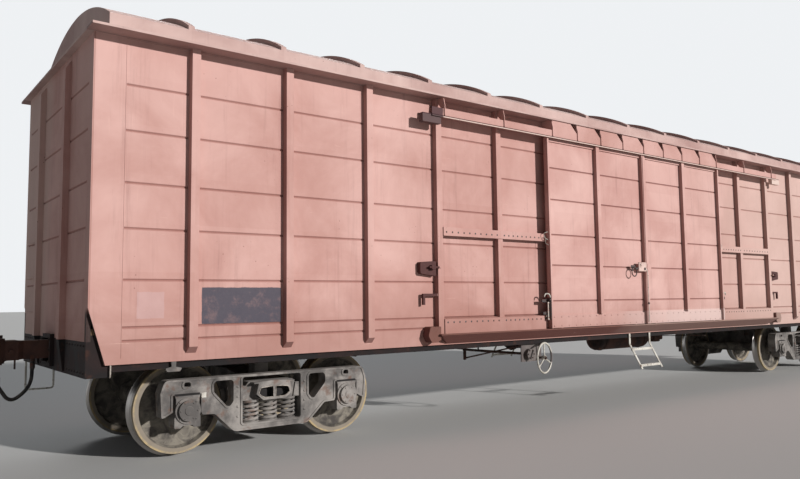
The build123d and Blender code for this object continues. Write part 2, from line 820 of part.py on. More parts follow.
def spring(x, y):
    """Coil spring as a stack of rounded coils about a core."""
    pitch = (spring_top - spring_seat) / spring_coils
    core = spring_radius - spring_wire
    points = [(0, 0)]
    for coil in range(spring_coils):
        z = coil * pitch
        points += [(core, z), (spring_radius, z + pitch * 0.28), (spring_radius, z + pitch * 0.6),
                   (core, z + pitch * 0.88)]
    points += [(core, spring_top - spring_seat), (0, spring_top - spring_seat)]
    return Pos(x, y, spring_seat) * revolve(Plane.XZ * flat(points), Axis.Z, 360)


def springs():
    """Three springs in the window of the +Y side frame."""
    return [spring(place * spring_pitch, spring_y) for place in (-1, 0, 1)]


def axle_box():
    """Box over the +Y journal of an axle at X = 0, with feet and a round end cap."""
    half = axle_box_width / 2
    inner = journal_centre - journal_length / 2 + axle_box_gap
    outline = rounded([(-half, axle_box_bottom, 14), (-half + 60, axle_box_bottom, 0),
                       (-half + 84, axle_box_bottom + 22, 20),
                       (half - 84, axle_box_bottom + 22, 20), (half - 60, axle_box_bottom, 0),
                       (half, axle_box_bottom, 14),
                       (half, axle_box_bottom + 100, 0), (half - 14, axle_box_bottom + 130, 0),
                       (half - 14, jaw_roof - 40, 0),
                       (half, jaw_roof, 0), (-half, jaw_roof, 0), (-half + 14, jaw_roof - 40, 0),
                       (-half + 14, axle_box_bottom + 130, 0), (-half, axle_box_bottom + 100, 0)])
    box = carry_y(outline, inner, axle_box_face)
    box += rod_y(axle_ring_radius, axle_box_face, axle_box_face + 14, 0, axle_height)
    box += rod_y(axle_cap_radius, axle_box_face + 14, axle_cap_face, 0, axle_height)
    return box - rod_y(journal_radius + journal_clearance, inner - 1,
                       journal_centre + journal_length / 2 + 4, 0, axle_height)


def brake_beam():
    """Truss beam across the bogie with two brake shoes, for the axle on the +X side."""
    axle = wheelbase / 2
    shoe_y = wheel_back + rim_width / 2 + 16
    low = shoe_y - shoe_width / 2
    shoe_in = tread_radius + shoe_gap
    ring = rod_y(shoe_in + shoe_thick, low, low + shoe_width, axle, axle_height)
    ring -= rod_y(shoe_in, low - 1, low + shoe_width + 1, axle, axle_height)
    shoe = ring & block(axle - shoe_in - shoe_thick - 5, axle - shoe_in + 60, low, low + shoe_width,
                        axle_height - 170, axle_height + 150)
    x = axle - shoe_in - shoe_thick + 6
    z = axle_height - 50
    beam = block(x - 44, x + 4, -frame_inner, frame_inner, z, z + beam_height)
    truss = flat([(x - 20, low - 30), (x - 20, low - 60), (x - 130, 30), (x - 130, -30),
                  (x - 20, -low + 60),
                  (x - 20, -low + 30), (x - 158, -46), (x - 158, 46)])
    brace = Pos(0, 0, z + 4) * extrude(truss, amount=beam_height - 8, dir=(0, 0, 1))
    return beam + brace + shoe + across(shoe)


# Brake gear and fittings on the body

def air_reservoir():
    """Tank with dished ends, hung from two joists by saddles."""
    half = reservoir_length / 2
    r = reservoir_radius
    # Half profile of the tank: distance past the end seam, share of the radius
    dish = [(0, 1), (34, 0.93), (62, 0.68), (76, 0)]
    right = [(half + out, r * share) for out, share in dish]
    profile = flat([(-x, y) for x, y in reversed(right)] + right)
    tank = Pos(reservoir_x, reservoir_y, reservoir_height) * revolve(profile, Axis.X, 360)
    for x in (0, frame_pitch):
        tank += block(x - 20, x + 20, reservoir_y - 90, reservoir_y + 90, reservoir_height + 70,
                      floor_bottom - bearer_depth)
    return tank


def brake_cylinder():
    """Cylinder with its rod and lever, hung from two joists by a plate."""
    half = cylinder_length / 2
    body = rod_x(cylinder_radius, cylinder_x - half, cylinder_x + half, cylinder_y, cylinder_height)
    body += rod_x(cylinder_radius + 22, cylinder_x - half - 24, cylinder_x - half, cylinder_y,
                  cylinder_height)
    body += rod_x(38, cylinder_x - half - 260, cylinder_x - half - 24, cylinder_y, cylinder_height)
    body += block(cylinder_x - half - 280, cylinder_x - half - 240, -120, cylinder_y + 120,
                  cylinder_height - 14, cylinder_height + 14)
    for x in (-frame_pitch, 0):
        body += block(x - 24, x + 24, cylinder_y - 110, cylinder_y + 110, cylinder_height + 60,
                      floor_bottom - bearer_depth)
    body += block(-frame_pitch - 24, 24, cylinder_y - 110, cylinder_y + 110, cylinder_height + 100,
                  cylinder_height + 130)
    return body


def train_pipe():
    """Air pipe along the wagon with an angle cock at each end."""
    end = body_half + pipe_reach
    pipe = rod_x(pipe_radius, -end, end, pipe_y, pipe_height)
    for side in (-1, 1):
        pipe += rod_x(pipe_radius + 12, side * (end - 10), side * (end + 60), pipe_y, pipe_height)
        pipe += rod_z(pipe_radius, pipe_height - 90, pipe_height, side * (end + 38), pipe_y)
        pipe += block(side * (end + 20), side * (end + 56), pipe_y - 90, pipe_y, pipe_height + 20,
                      pipe_height + 34)
    return pipe


def handbrake():
    """Handwheel on a shaft out of a gearbox plate below the wall, on the +Y side."""
    centre = Pos(handwheel_x, handwheel_y, handwheel_height) * Rot(0, 0, handwheel_turn)
    wheel = centre * Rot(90, 0, 0) * Torus(handwheel_radius, handwheel_rim)
    wheel += centre * rod_y(30, -30, 16, 0, 0)
    for spoke in range(handwheel_spokes):
        bar = Pos(handwheel_radius / 2, 0, 0) * Rot(0, 90, 0) * Cylinder(9, handwheel_radius)
        wheel += centre * Rot(0, 25 + spoke * 360 / handwheel_spokes, 0) * bar
    shaft = rod_y(16, wall_inner - 60, handwheel_y, handwheel_x, handwheel_height)
    plate = block(gearbox_x - 130, handwheel_x + 40, wall_inner - 60, wall_inner - 46,
                  handwheel_height - 40,
                  wall_bottom - side_sill_drop)
    box = rod_y(70, wall_inner - 46, wall_inner + 10, gearbox_x, handwheel_height + 60)
    return wheel + shaft + plate + box


def side_step():
    """Two-rung step under the doorway, hung from the side sill on the +Y side."""
    top_y = step_top_y
    stile = flat([(top_y - 6, wall_bottom), (top_y + 6, wall_bottom), (top_y + 6, step_bend),
                  (step_out, step_foot),
                  (step_out - 12, step_foot), (top_y - 6, step_bend)])
    step = carry_x(stile, step_left - 18, step_left + 18) + carry_x(stile, step_right - 18,
                                                                    step_right + 18)
    slope = (step_out - top_y) / (step_bend - step_foot)
    for height in tread_heights:
        z = height
        y = top_y + (step_bend - z) * slope
        step += block(step_left, step_right, y - 26, y + 4, z - 18, z + 18)
    return step


def rope_hook():
    """Double-horned hook under the wall's lower edge, for pulling the wagon by a rope."""
    low = wall_bottom - hook_drop
    outline = rounded([(-24, wall_bottom, 0), (-20, low + 44, 8), (-78, low + 30, 6), (-60, low, 14),
                       (60, low, 14),
                       (78, low + 30, 6), (20, low + 44, 8), (24, wall_bottom, 0)])
    return Pos(hook_x, 0, 0) * carry_y(outline, wall_face - 22, wall_face - 6)


os.makedirs("parts", exist_ok=True)

# Body nodes
wall = wall_quarter()
save("side_wall_near_right", across(wall))
save("side_wall_near_left", across(along(wall)))
save("side_wall_far_right", wall)
save("side_wall_far_left", along(wall))
save("door_headers", door_header(), across(door_header()))
save("doorway_sills", doorway_sill(), across(doorway_sill()))
save("end_wall_right", end_wall())
save("end_wall_left", along(end_wall()))
save("roof", roof())
save("side_eaves", side_eave(), across(side_eave()))
save("end_eaves", end_eave(), along(end_eave()))
save("door_guide_rails", guide_rail(), across(guide_rail()))
save("door_sill_rails", sill_rail(), across(sill_rail()))
save("floor", floor())
save("centre_sill", centre_sill())
save("side_sills", side_sill(), across(side_sill()))
save("end_sills", end_sill(1), Rot(0, 0, 180) * end_sill(-1))
save("body_bolsters", body_bolster(), along(body_bolster()))
save("cross_bearers", *cross_bearers())
save("draft_gears", draft_gear(), along(draft_gear()))
save("coupler_right", coupler())
save("coupler_left", Rot(0, 0, 180) * coupler())
save("air_reservoir", air_reservoir())
save("brake_cylinder", brake_cylinder())
save("train_pipe", train_pipe())
save("handbrake", across(handbrake()))
save("side_steps", across(side_step()), Rot(0, 0, 180) * across(side_step()))
hook = rope_hook()
save("rope_hooks", hook, along(hook), across(hook), across(along(hook)))

# Door leaves, the right-hand one of each pair with the cover strip
save("door_leaf_near_right", across(door_leaf(1)))
save("door_leaf_near_left", across(along(door_leaf(0))))
save("door_leaf_far_right", door_leaf(0))
save("door_leaf_far_left", along(door_leaf(1)))

# Running gear, with columns for the name and the side of the wagon
bogies = [("left", -1), ("right", 1)]
axle_names = [("outer", 1), ("inner", -1)]
for name, side in bogies:
    place = Pos(side * bogie_centre, 0, 0)
    save("side_frames_" + name, place * side_frame(), place * across(side_frame()))
    save("bogie_bolster_" + name, place * bogie_bolster())
    both_sides = springs() + [across(shape) for shape in springs()]
    save("springs_" + name, *[place * shape for shape in both_sides])
    wedge_set = wedges() + [across(shape) for shape in wedges()]
    save("friction_wedges_" + name, *[place * shape for shape in wedge_set])
    boxes = [Pos(end * wheelbase / 2, 0, 0) * shape for end in (-1, 1)
             for shape in (axle_box(), across(axle_box()))]
    save("axle_boxes_" + name, *[place * shape for shape in boxes])
    save("brake_beams_" + name, place * brake_beam(), place * mirror(brake_beam(), about=Plane.YZ))
    for axle_name, end in axle_names:
        centre = side * (bogie_centre + end * wheelbase / 2)
        save("wheelset_" + name + "_" + axle_name, Pos(centre, 0, 0) * wheelset())
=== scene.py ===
"""Looks of a covered goods wagon: faded red-brown paint, dusty bogies, and the small fittings.

Metres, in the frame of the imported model: X along the wagon, Y across it, Z up, with the rail head
28 mm above Z = 0. Heights in this file are counted from the rail head. Every piece is a surface
worked out with numpy as whole arrays. Its object stays at the origin, so that every finish can
read the frame's own coordinates from it.
"""

import math
from functools import cached_property

import bpy
import numpy as np
from mathutils import Matrix


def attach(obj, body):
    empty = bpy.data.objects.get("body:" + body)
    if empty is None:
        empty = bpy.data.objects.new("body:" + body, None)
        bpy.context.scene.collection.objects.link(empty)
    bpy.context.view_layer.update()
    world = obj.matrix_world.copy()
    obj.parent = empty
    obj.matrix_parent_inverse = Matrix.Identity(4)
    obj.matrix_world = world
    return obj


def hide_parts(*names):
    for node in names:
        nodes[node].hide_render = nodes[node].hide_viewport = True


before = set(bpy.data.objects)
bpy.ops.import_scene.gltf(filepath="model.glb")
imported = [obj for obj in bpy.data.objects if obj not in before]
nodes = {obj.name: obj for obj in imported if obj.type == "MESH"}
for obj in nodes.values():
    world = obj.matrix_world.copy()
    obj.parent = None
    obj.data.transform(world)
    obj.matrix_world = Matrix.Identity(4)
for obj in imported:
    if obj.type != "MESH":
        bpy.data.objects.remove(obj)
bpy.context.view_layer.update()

# The body: places along and across are counted from the wagon's middle
RAIL = 0.028
BODY_HALF = 8.07
FRAME_PITCH = 1.02
STOP_POST = 4.08
EAVE = 3.953
WALL_FACE = 1.405
RUB_FACE = 1.487
LEAF_BACK = 1.493
LEAF_SHEET = 1.509
LEAF_FACE = 1.565
LEAF_OUTER = 2.209
KICK_TOP = 1.30
LOCK_HEIGHT = 1.968
COUPLER_HEIGHT = 1.060
COUPLER_FACE = 8.68
BRAKE_LINE = 0.85

# The bogies: places along are counted from a bogie's centre
BOGIE_CENTRE = 6.12
AXLE_OFFSET = 0.925
AXLE_HEIGHT = 0.4575
BOX_FACE = 1.118
CAP_FACE = 1.148
FRAME_FACE = 1.090
BOLSTER_FACE = 1.1405
SPRING_SEAT = 0.262
SPRING_TOP = 0.490
SPRING_Y = 0.984
SPRING_PITCH = 0.215

ENDS = (("left", -1), ("right", 1))
OUTWARDS = (0, 1, 0)
ENDWARDS = (1, 0, 0)
WELD = 1e-5
CREASE = math.radians(35)
# Direction that no bar follows, from which a bar's first normal is worked out
ASKEW = (0.31, 0.47, 0.83)


def in_scene(name, data):
    """New object with the given data, at the origin."""
    new = bpy.data.objects.new(name, data)
    bpy.context.scene.collection.objects.link(new)
    return new


# Meshes

def mesh_piece(name, points, quads, finish, body="wagon_body"):
    """A mesh object from an (n, 3) array of points, whose heights are counted from the rail head,
    and an (m, 4) array of corner numbers. Points in one place become one point, so that seams and
    poles close. A quad with two corners in one place becomes a triangle. Edges sharper than the
    crease angle stay sharp."""
    points = np.asarray(points, float) + [0, 0, RAIL]
    grid = np.round(points / WELD).astype(np.int64)
    first, numbers = np.unique(grid, axis=0, return_index=True, return_inverse=True)[1:]
    corners = numbers.reshape(-1)[quads]
    kept = corners != np.roll(corners, -1, axis=1)
    whole = kept.sum(1) > 2
    corners, kept = corners[whole], kept[whole]
    sizes = kept.sum(1)
    mesh = bpy.data.meshes.new(name)
    mesh.vertices.add(len(first))
    mesh.vertices.foreach_set("co", points[first].astype(np.float32).ravel())
    mesh.loops.add(int(sizes.sum()))
    mesh.loops.foreach_set("vertex_index", corners[kept].astype(np.int32))
    mesh.polygons.add(len(sizes))
    mesh.polygons.foreach_set("loop_start", (np.cumsum(sizes) - sizes).astype(np.int32))
    mesh.polygons.foreach_set("use_smooth", np.full(len(sizes), True))
    mesh.update(calc_edges=True)
    mesh.validate()
    mesh.set_sharp_from_angle(angle=CREASE)
    mesh.materials.append(finish)
    piece = in_scene(name, mesh)
    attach(piece, body)
    return piece


def grid_quads(rows, columns, wrap_rows=False, wrap_columns=False):
    """Corner numbers of a grid whose point (i, j) has the number i * columns + j."""
    i = np.arange(rows if wrap_rows else rows - 1)
    j = np.arange(columns if wrap_columns else columns - 1)
    i, j = (a.ravel() for a in np.meshgrid(i, j, indexing="ij"))
    here, below = i * columns, (i + 1) % rows * columns
    right = (j + 1) % columns
    return np.stack([here + j, below + j, below + right, here + right], 1)


def ring_quads(rings, around, closed=False):
    """Outward quads between rings whose points run counterclockwise as seen from the last ring."""
    return grid_quads(rings, around, closed, True)[:, ::-1]


def copies(points, quads, matrices):
    """One mesh of many copies: every point p of every copy k goes to matrices[k] times p."""
    matrices = np.asarray(matrices, float).reshape(-1, 4, 4)
    spread = np.einsum("kab,pb->kpa", matrices[:, :3, :3], points) + matrices[:, None, :3, 3]
    numbers = quads[None] + np.arange(len(matrices))[:, None, None] * len(points)
    return spread.reshape(-1, 3), numbers.reshape(-1, 4)


def joined(parts):
    """One (points, quads) pair out of several."""
    starts = np.cumsum([0] + [len(points) for points, _ in parts])
    return (np.concatenate([points for points, _ in parts]),
            np.concatenate([quads + start for (_, quads), start in zip(parts, starts)]))


def facing(directions, places, turns=0.0):
    """Matrices that put local +Z along each direction, at each place, and turn about it."""
    z = np.asarray(directions, float).reshape(-1, 3)
    count = max(len(z), np.size(places) // 3)
    places = np.broadcast_to(np.asarray(places, float).reshape(-1, 3), (count, 3))
    z = np.broadcast_to(z, places.shape)
    z = z / np.linalg.norm(z, axis=1, keepdims=True)
    side = np.where(np.abs(z[:, 2:3]) > 0.9, [[1.0, 0, 0]], [[0, 0, 1.0]])
    x = np.cross(side, z)
    x /= np.linalg.norm(x, axis=1, keepdims=True)
    y = np.cross(z, x)
    turn = np.broadcast_to(turns, count)[:, None]
    c, s = np.cos(turn), np.sin(turn)
    matrices = np.tile(np.eye(4), (count, 1, 1))
    matrices[:, :3, 0] = c * x + s * y
    matrices[:, :3, 1] = c * y - s * x
    matrices[:, :3, 2] = z
    matrices[:, :3, 3] = places
    return matrices


def turned(profile, around=24):
    """Profile rows (radius, height) turned about Z, to (r cos a, r sin a, h) at the angle a."""
    profile = np.asarray(profile, float)
    a = np.linspace(0, 2 * math.pi, around, endpoint=False)
    r, h = profile[:, 0][:, None], profile[:, 1][:, None]
    points = np.stack([r * np.cos(a), r * np.sin(a), np.broadcast_to(h, (len(profile), around))], 2)
    return points.reshape(-1, 3), ring_quads(len(profile), around)


def tube(path, radius, around=10, closed=False):
    """Round bar along a path: at each path point p, the ring p + radius (n cos a + b sin a).
    n and b are carried along the path, each turned as little as the path's own direction turns.
    The first and last rings shrink to a point, which closes the ends. A closed path lies flat."""
    path = np.asarray(path, float)
    step = np.roll(path, -1, 0) - np.roll(path, 1, 0) if closed else np.gradient(path, axis=0)
    step /= np.linalg.norm(step, axis=1, keepdims=True)
    normals = np.empty_like(step)
    n = np.cross(step[0], ASKEW)
    for k, t in enumerate(step):
        n = n - t * (n @ t)
        n /= np.linalg.norm(n)
        normals[k] = n
    binormals = np.cross(step, normals)
    a = np.linspace(0, 2 * math.pi, around, endpoint=False)[None, :, None]
    radius = np.broadcast_to(radius, len(path))[:, None, None]
    rings = path[:, None] + radius * (normals[:, None] * np.cos(a) + binormals[:, None] * np.sin(a))
    if not closed:
        poles = [np.broadcast_to(end, rings[:1].shape) for end in (path[0], path[-1])]
        rings = np.concatenate([poles[0], rings, poles[1]])
    return rings.reshape(-1, 3), ring_quads(len(rings), around, closed)


def rounded_path(corners, radius=0.03, steps=6):
    """Path through corners, each replaced by the curve B(t) = (1-t)^2 a + 2t(1-t) c + t^2 b,
    whose ends a and b lie at the given distance from the corner c, but not past the middle of a
    leg."""
    corners = np.asarray(corners, float)
    t = np.linspace(0, 1, steps)[:, None]
    pieces = [corners[:1]]
    for before, corner, after in zip(corners[:-2], corners[1:-1], corners[2:]):
        a, b = (corner + leg * min(0.45, radius / np.linalg.norm(leg))
                for leg in (before - corner, after - corner))
        pieces.append((1 - t) ** 2 * a + 2 * t * (1 - t) * corner + t ** 2 * b)
    pieces.append(corners[-1:])
    return np.concatenate(pieces)


def bevelled_box(low, high, bevel=0.003):
    """Box from low to high as six stacked rings: the outline shrinks by the bevel at the two ends,
    and every ring is an eight-cornered outline with its own corners cut by the bevel."""
    low, high = np.asarray(low, float), np.asarray(high, float)
    b = min(bevel, 0.45 * float((high - low).min()))
    half = (high - low) / 2
    sx = np.array([1, 1, 1, -1, -1, -1, -1, 1.0])
    sy = np.array([-1, 1, 1, 1, 1, -1, -1, -1.0])
    cut_x = np.array([0, 0, 1, 1, 0, 0, 1, 1.0])
    cut_y = 1 - cut_x
    heights = np.array([-half[2], -half[2], -half[2] + b, half[2] - b, half[2], half[2]])
    shrink = np.array([half.max(), b, 0, 0, b, half.max()])
    x = sx * np.maximum(half[0] - cut_x * b - shrink[:, None], 0)
    y = sy * np.maximum(half[1] - cut_y * b - shrink[:, None], 0)
    z = np.broadcast_to(heights[:, None], x.shape)
    points = np.stack([x, y, z], 2).reshape(-1, 3) + (low + high) / 2
    return points, ring_quads(6, 8)


def block(middle, half, bevel=0.003):
    """Bevelled box from its middle and its half sizes."""
    middle, half = np.asarray(middle, float), np.asarray(half, float)
    return bevelled_box(middle - half, middle + half, bevel)


def upright_plate(outline, half, bevel=0.002):
    """Plate whose outline is given along X and up, and whose faces lie at y = half and -half.
    Each ring is c + s (p - c) for the outline's points p about its middle c: s is 0 at the two
    poles, 1 at full width, and a bevel less at the two faces."""
    outline = np.asarray(outline, float)
    middle = outline.mean(0)
    less = 1 - bevel / np.abs(outline - middle).max()
    shares = np.array([0, less, 1, 1, less, 0])[:, None, None]
    flat = middle + shares * (outline - middle)
    y = np.array([half, half, half - bevel, bevel - half, -half, -half])
    points = np.stack([flat[..., 0], np.broadcast_to(y[:, None], flat.shape[:2]), flat[..., 1]], 2)
    return points.reshape(-1, 3), ring_quads(6, len(outline))


def oval(middle, across, up, normal_axis=0, steps=20, start=0.0):
    """Closed path: middle + (0, across cos a, up sin a), or the same about another axis."""
    a = start + np.linspace(0, 2 * math.pi, steps, endpoint=False)
    path = np.tile(np.asarray(middle, float), (steps, 1))
    first, second = [axis for axis in (0, 1, 2) if axis != normal_axis]
    path[:, first] += across * np.cos(a)
    path[:, second] += up * np.sin(a)
    return path


def four_ways(points, quads, ends=True, sides=True):
    """The mesh and its mirror images in X and Y. An odd number of mirrors turns the faces round."""
    return joined([(points * [sx, sy, 1], quads if sx * sy > 0 else quads[:, ::-1])
                   for sx in ((1, -1) if ends else (1,)) for sy in ((1, -1) if sides else (1,))])


def opposite(points, quads):
    """The mesh and its copy half a turn round the wagon's middle."""
    return joined([(points, quads), (points * [-1, -1, 1], quads)])


# Small fastenings, as profile rows (radius, height above the plate)
RIVET = [(0.0, 0.0085), (0.006, 0.008), (0.0105, 0.0055), (0.0125, 0.002), (0.013, 0.0),
         (0.0, -0.001)]
NUT = [(0.0, 0.016), (0.007, 0.0155), (0.008, 0.011), (0.0125, 0.0105), (0.0145, 0.008),
       (0.0145, 0.002), (0.020, 0.0018), (0.021, 0.0), (0.0, -0.001)]
FLUSH = [(0.0, 0.0009), (0.0105, 0.0008), (0.0125, 0.0), (0.0, -0.001)]


def heads(profile, around, places, direction, size=1.0):
    """One turned head, copied to the given places, all along one direction."""
    points, quads = turned(np.array(profile)[::-1] * size, around)
    return copies(points, quads, facing(direction, places))


# Finishes

def rgb(red, green, blue):
    """Linear colour from the 0 to 255 numbers of a screen colour."""
    c = np.array([red, green, blue]) / 255
    linear = np.where(c <= 0.04045, c / 12.92, ((c + 0.055) / 1.055) ** 2.4)
    return (*linear, 1.0)


class Graph:
    """Node graph. A method that adds a node returns an output socket of it, or for add the node."""

    def __init__(self, tree):
        self.tree = tree

    def feed(self, node, values):
        """Links sockets, or writes numbers and colours, into inputs that go by number or name."""
        for key, value in values.items():
            if isinstance(value, bpy.types.NodeSocket):
                self.tree.links.new(value, node.inputs[key])
            elif value is not None:
                node.inputs[key].default_value = value

    def add(self, kind, values, **settings):
        """New node of a kind, with its own settings, fed with values."""
        node = self.tree.nodes.new(kind)
        for key, value in settings.items():
            setattr(node, key, value)
        self.feed(node, values)
        return node

    def math(self, operation, *values, clamp=False):
        """One arithmetic step on numbers."""
        return self.add("ShaderNodeMath", dict(enumerate(values)), operation=operation,
                        use_clamp=clamp).outputs[0]


class Finish(Graph):
    """Graph of one material. coat returns nothing: it lays a colour over those that are there."""

    def __init__(self, name):
        self.material = bpy.data.materials.new(name)
        self.material.use_nodes = True
        super().__init__(self.material.node_tree)
        self.colour = None

    @cached_property
    def place(self):
        """Object coordinates, which are those of the frame."""
        return self.add("ShaderNodeTexCoord", {}).outputs["Object"]

    @cached_property
    def axes(self):
        """X, Y and Z of the place."""
        return tuple(self.add("ShaderNodeSeparateXYZ", {0: self.place}).outputs)

    @cached_property
    def up(self):
        """Height above the rail head."""
        return self.math("SUBTRACT", self.axes[2], RAIL)

    @cached_property
    def normal(self):
        """X, Y and Z of the direction in which the surface faces."""
        direction = self.add("ShaderNodeNewGeometry", {}).outputs["Normal"]
        return tuple(self.add("ShaderNodeSeparateXYZ", {0: direction}).outputs)

    @property
    def upward(self):
        """Share by which the surface faces up, from 0 to 1."""
        return self.math("MAXIMUM", self.normal[2], 0.0)

    def times(self, first, *others):
        """Product of numbers, such as shares that all have to hold."""
        for other in others:
            first = self.math("MULTIPLY", first, other)
        return first

    def away(self, value, middle=0.0):
        """Distance of a value from a middle: |value - middle|."""
        return self.math("ABSOLUTE", self.math("SUBTRACT", value, middle) if middle else value)

    def stretch(self, scale, offset=(0, 0, 0)):
        """Object coordinates times a scale for each axis, plus an offset."""
        values = {"Vector": self.place, "Scale": scale, "Location": offset}
        return self.add("ShaderNodeMapping", values).outputs[0]

    def noise(self, scale, detail=4.0, rough=0.55, where=None, warp=0.0):
        """Fractal noise from 0 to 1, middle 0.5."""
        values = {"Vector": self.place if where is None else where, "Scale": scale,
                  "Detail": detail, "Roughness": rough, "Distortion": warp}
        return self.add("ShaderNodeTexNoise", values).outputs["Fac"]

    def ragged(self, size):
        """Fine noise about zero that makes an edge ragged."""
        return self.times(self.math("SUBTRACT", self.noise(14, 5, 0.7), 0.5), size)

    def cells(self, scale, where):
        """Distance from the nearest of many scattered points."""
        values = {"Vector": where, "Scale": scale}
        return self.add("ShaderNodeTexVoronoi", values).outputs["Distance"]

    def step(self, value, low, high, start=0.0, end=1.0):
        """Smooth rise from start to end while the value goes from low to high."""
        return self.add("ShaderNodeMapRange", dict(enumerate((value, low, high, start, end))),
                        interpolation_type="SMOOTHSTEP").outputs[0]

    def within(self, value, low, high, soft):
        """Share that is 1 between low and high, and fades to 0 inside them over a soft edge."""
        return self.times(self.step(value, low, low + soft), self.step(value, high, high - soft))

    def mix(self, share, first, second):
        """Colour between two colours, which are sockets or screen colours."""
        first, second = (colour if isinstance(colour, bpy.types.NodeSocket) else rgb(*colour)
                         for colour in (first, second))
        return self.add("ShaderNodeMix", {0: share, 6: first, 7: second},
                        data_type="RGBA").outputs[2]

    def coat(self, colour, *shares):
        """One more colour over those that are there, as far as all shares hold."""
        self.colour = self.mix(self.times(*shares), self.colour, colour)

    def relief(self, height, distance, strength=0.5, over=None):
        """Bump from a height, over another bump's normal."""
        values = {"Strength": strength, "Distance": distance, "Height": height, "Normal": over}
        return self.add("ShaderNodeBump", values).outputs[0]

    def skin(self, scale, depth, detail=4):
        """Fine grain of a surface."""
        return self.relief(self.noise(scale, detail, 0.6), depth)

    def done(self, rough, bump=None, metal=0.0, gloss=0.5):
        """Joins the colour, roughness and bump to the shader and returns the material.
        gloss is how strongly it mirrors: 0.5 for smooth paint, less for chalk, dust and soot."""
        self.feed(self.tree.nodes["Principled BSDF"],
                  {"Base Color": self.colour, "Roughness": rough, "Metallic": metal,
                   "Specular IOR Level": gloss, "Normal": bump})
        return self.material


# Screen colours of the primer
PRIMER = (182, 138, 129)
PRIMER_FADED = (208, 169, 161)
PRIMER_DIRT = (112, 74, 70)
# Dust at one end: its colour, the places along X where it begins and is full, and its cover there
PRIMER_DUSTED = ((206, 184, 174), 0.5, 4.5, 0.5)
SILL_DUSTED = ((158, 134, 124), -1.0, -0.1, 0.8)
# Joints of the sheets: the axis across them, the sheets' face along it, and their depth
WALL_GROOVES = ((1, WALL_FACE, 0.016), (0, BODY_HALF, 0.016))
LEAF_GROOVES = ((1, LEAF_SHEET, 0.0145),)


def clouds_of(f):
    """Slow clouds in which primer fades."""
    return f.noise(0.9, 5, 0.6, warp=0.4)


def sheet_shade(f):
    """Shade of each sheet between two posts and two joints, from -0.11 to 0.11: white noise on
    whole numbers that count bays along, sides across, and sheets up, of which 2.2 go to a metre."""
    x, y, z = f.axes
    counts = f.add("ShaderNodeCombineXYZ", {
        0: f.math("FLOOR", f.math("DIVIDE", x, FRAME_PITCH)), 1: f.math("SIGN", y),
        2: f.math("FLOOR", f.times(z, 2.2))})
    sheet = f.add("ShaderNodeTexWhiteNoise", {"Vector": counts.outputs[0]})
    return f.times(f.math("SUBTRACT", sheet.outputs["Value"], 0.5), 0.22)


def side_x(f):
    """X times the sign of Y. The sides are alike by half a turn, so that it means the same place
    on both of them."""
    x, y = f.axes[:2]
    return f.times(x, f.math("SIGN", y))


def one_end(f, ragged, thin_at, full_at, cover):
    """Cover that grows from one place along X to another, with a ragged border, and the other way
    round on the far side. Y decides by a smooth step, so that the ends have no seam."""
    x, y = f.axes[:2]
    along = f.times(x, f.step(y, -1.2, 1.2, 1.0, -1.0))
    along = f.math("SUBTRACT", along, f.times(ragged, 5.0))
    return f.step(along, thin_at, full_at, 0.0, cover)


def blank_panels(f):
    """Two blank painted panels on each wall: slate in the second bay, and a faint one before it."""
    along, ragged = side_x(f), f.ragged(0.020)
    # Columns for the panel's middle and half size, along and up, its colour and how much it covers
    for x, z, half_x, half_z, tint, cover in (
            (6.612, 1.476, 0.425, 0.176, (66, 70, 82), 0.93),
            (7.525, 1.488, 0.125, 0.121, (196, 172, 174), 0.32)):
        inside = [f.step(f.math("ADD", f.away(value, middle), ragged),
                         half - 0.004, half + 0.004, 1.0, 0.0)
                  for value, middle, half in ((along, x, half_x), (f.up, z, half_z))]
        f.coat(tint, *inside, f.step(f.noise(7, 6, 0.7), 0.30, 0.52, cover * 0.8, cover))


def dark_catch_coat(f):
    """Dark brown over the door catches and hook bars, which stand out from the walls."""
    f.coat(f.mix(f.noise(30, 5, 0.65), (62, 40, 42), (96, 64, 60)),
           f.within(f.away(f.axes[0]), STOP_POST + 0.050, STOP_POST + 0.325, 0.002),
           f.step(f.away(f.axes[1]), WALL_FACE + 0.0005, WALL_FACE + 0.0015),
           f.within(f.up, 1.435, 1.975, 0.005))


def corner_painted_shade(f):
    """Painted shade in the recess behind the cut lower corner of each wall."""
    along, across = f.away(f.axes[0]), f.away(f.axes[1])
    f.coat((34, 30, 30), f.step(along, BODY_HALF - 0.160, BODY_HALF - 0.120),
           f.step(across, WALL_FACE - 0.100, WALL_FACE - 0.080),
           f.step(across, WALL_FACE - 0.002, WALL_FACE - 0.005),
           f.step(f.up, 1.48, 1.40, 0.0, 0.92))


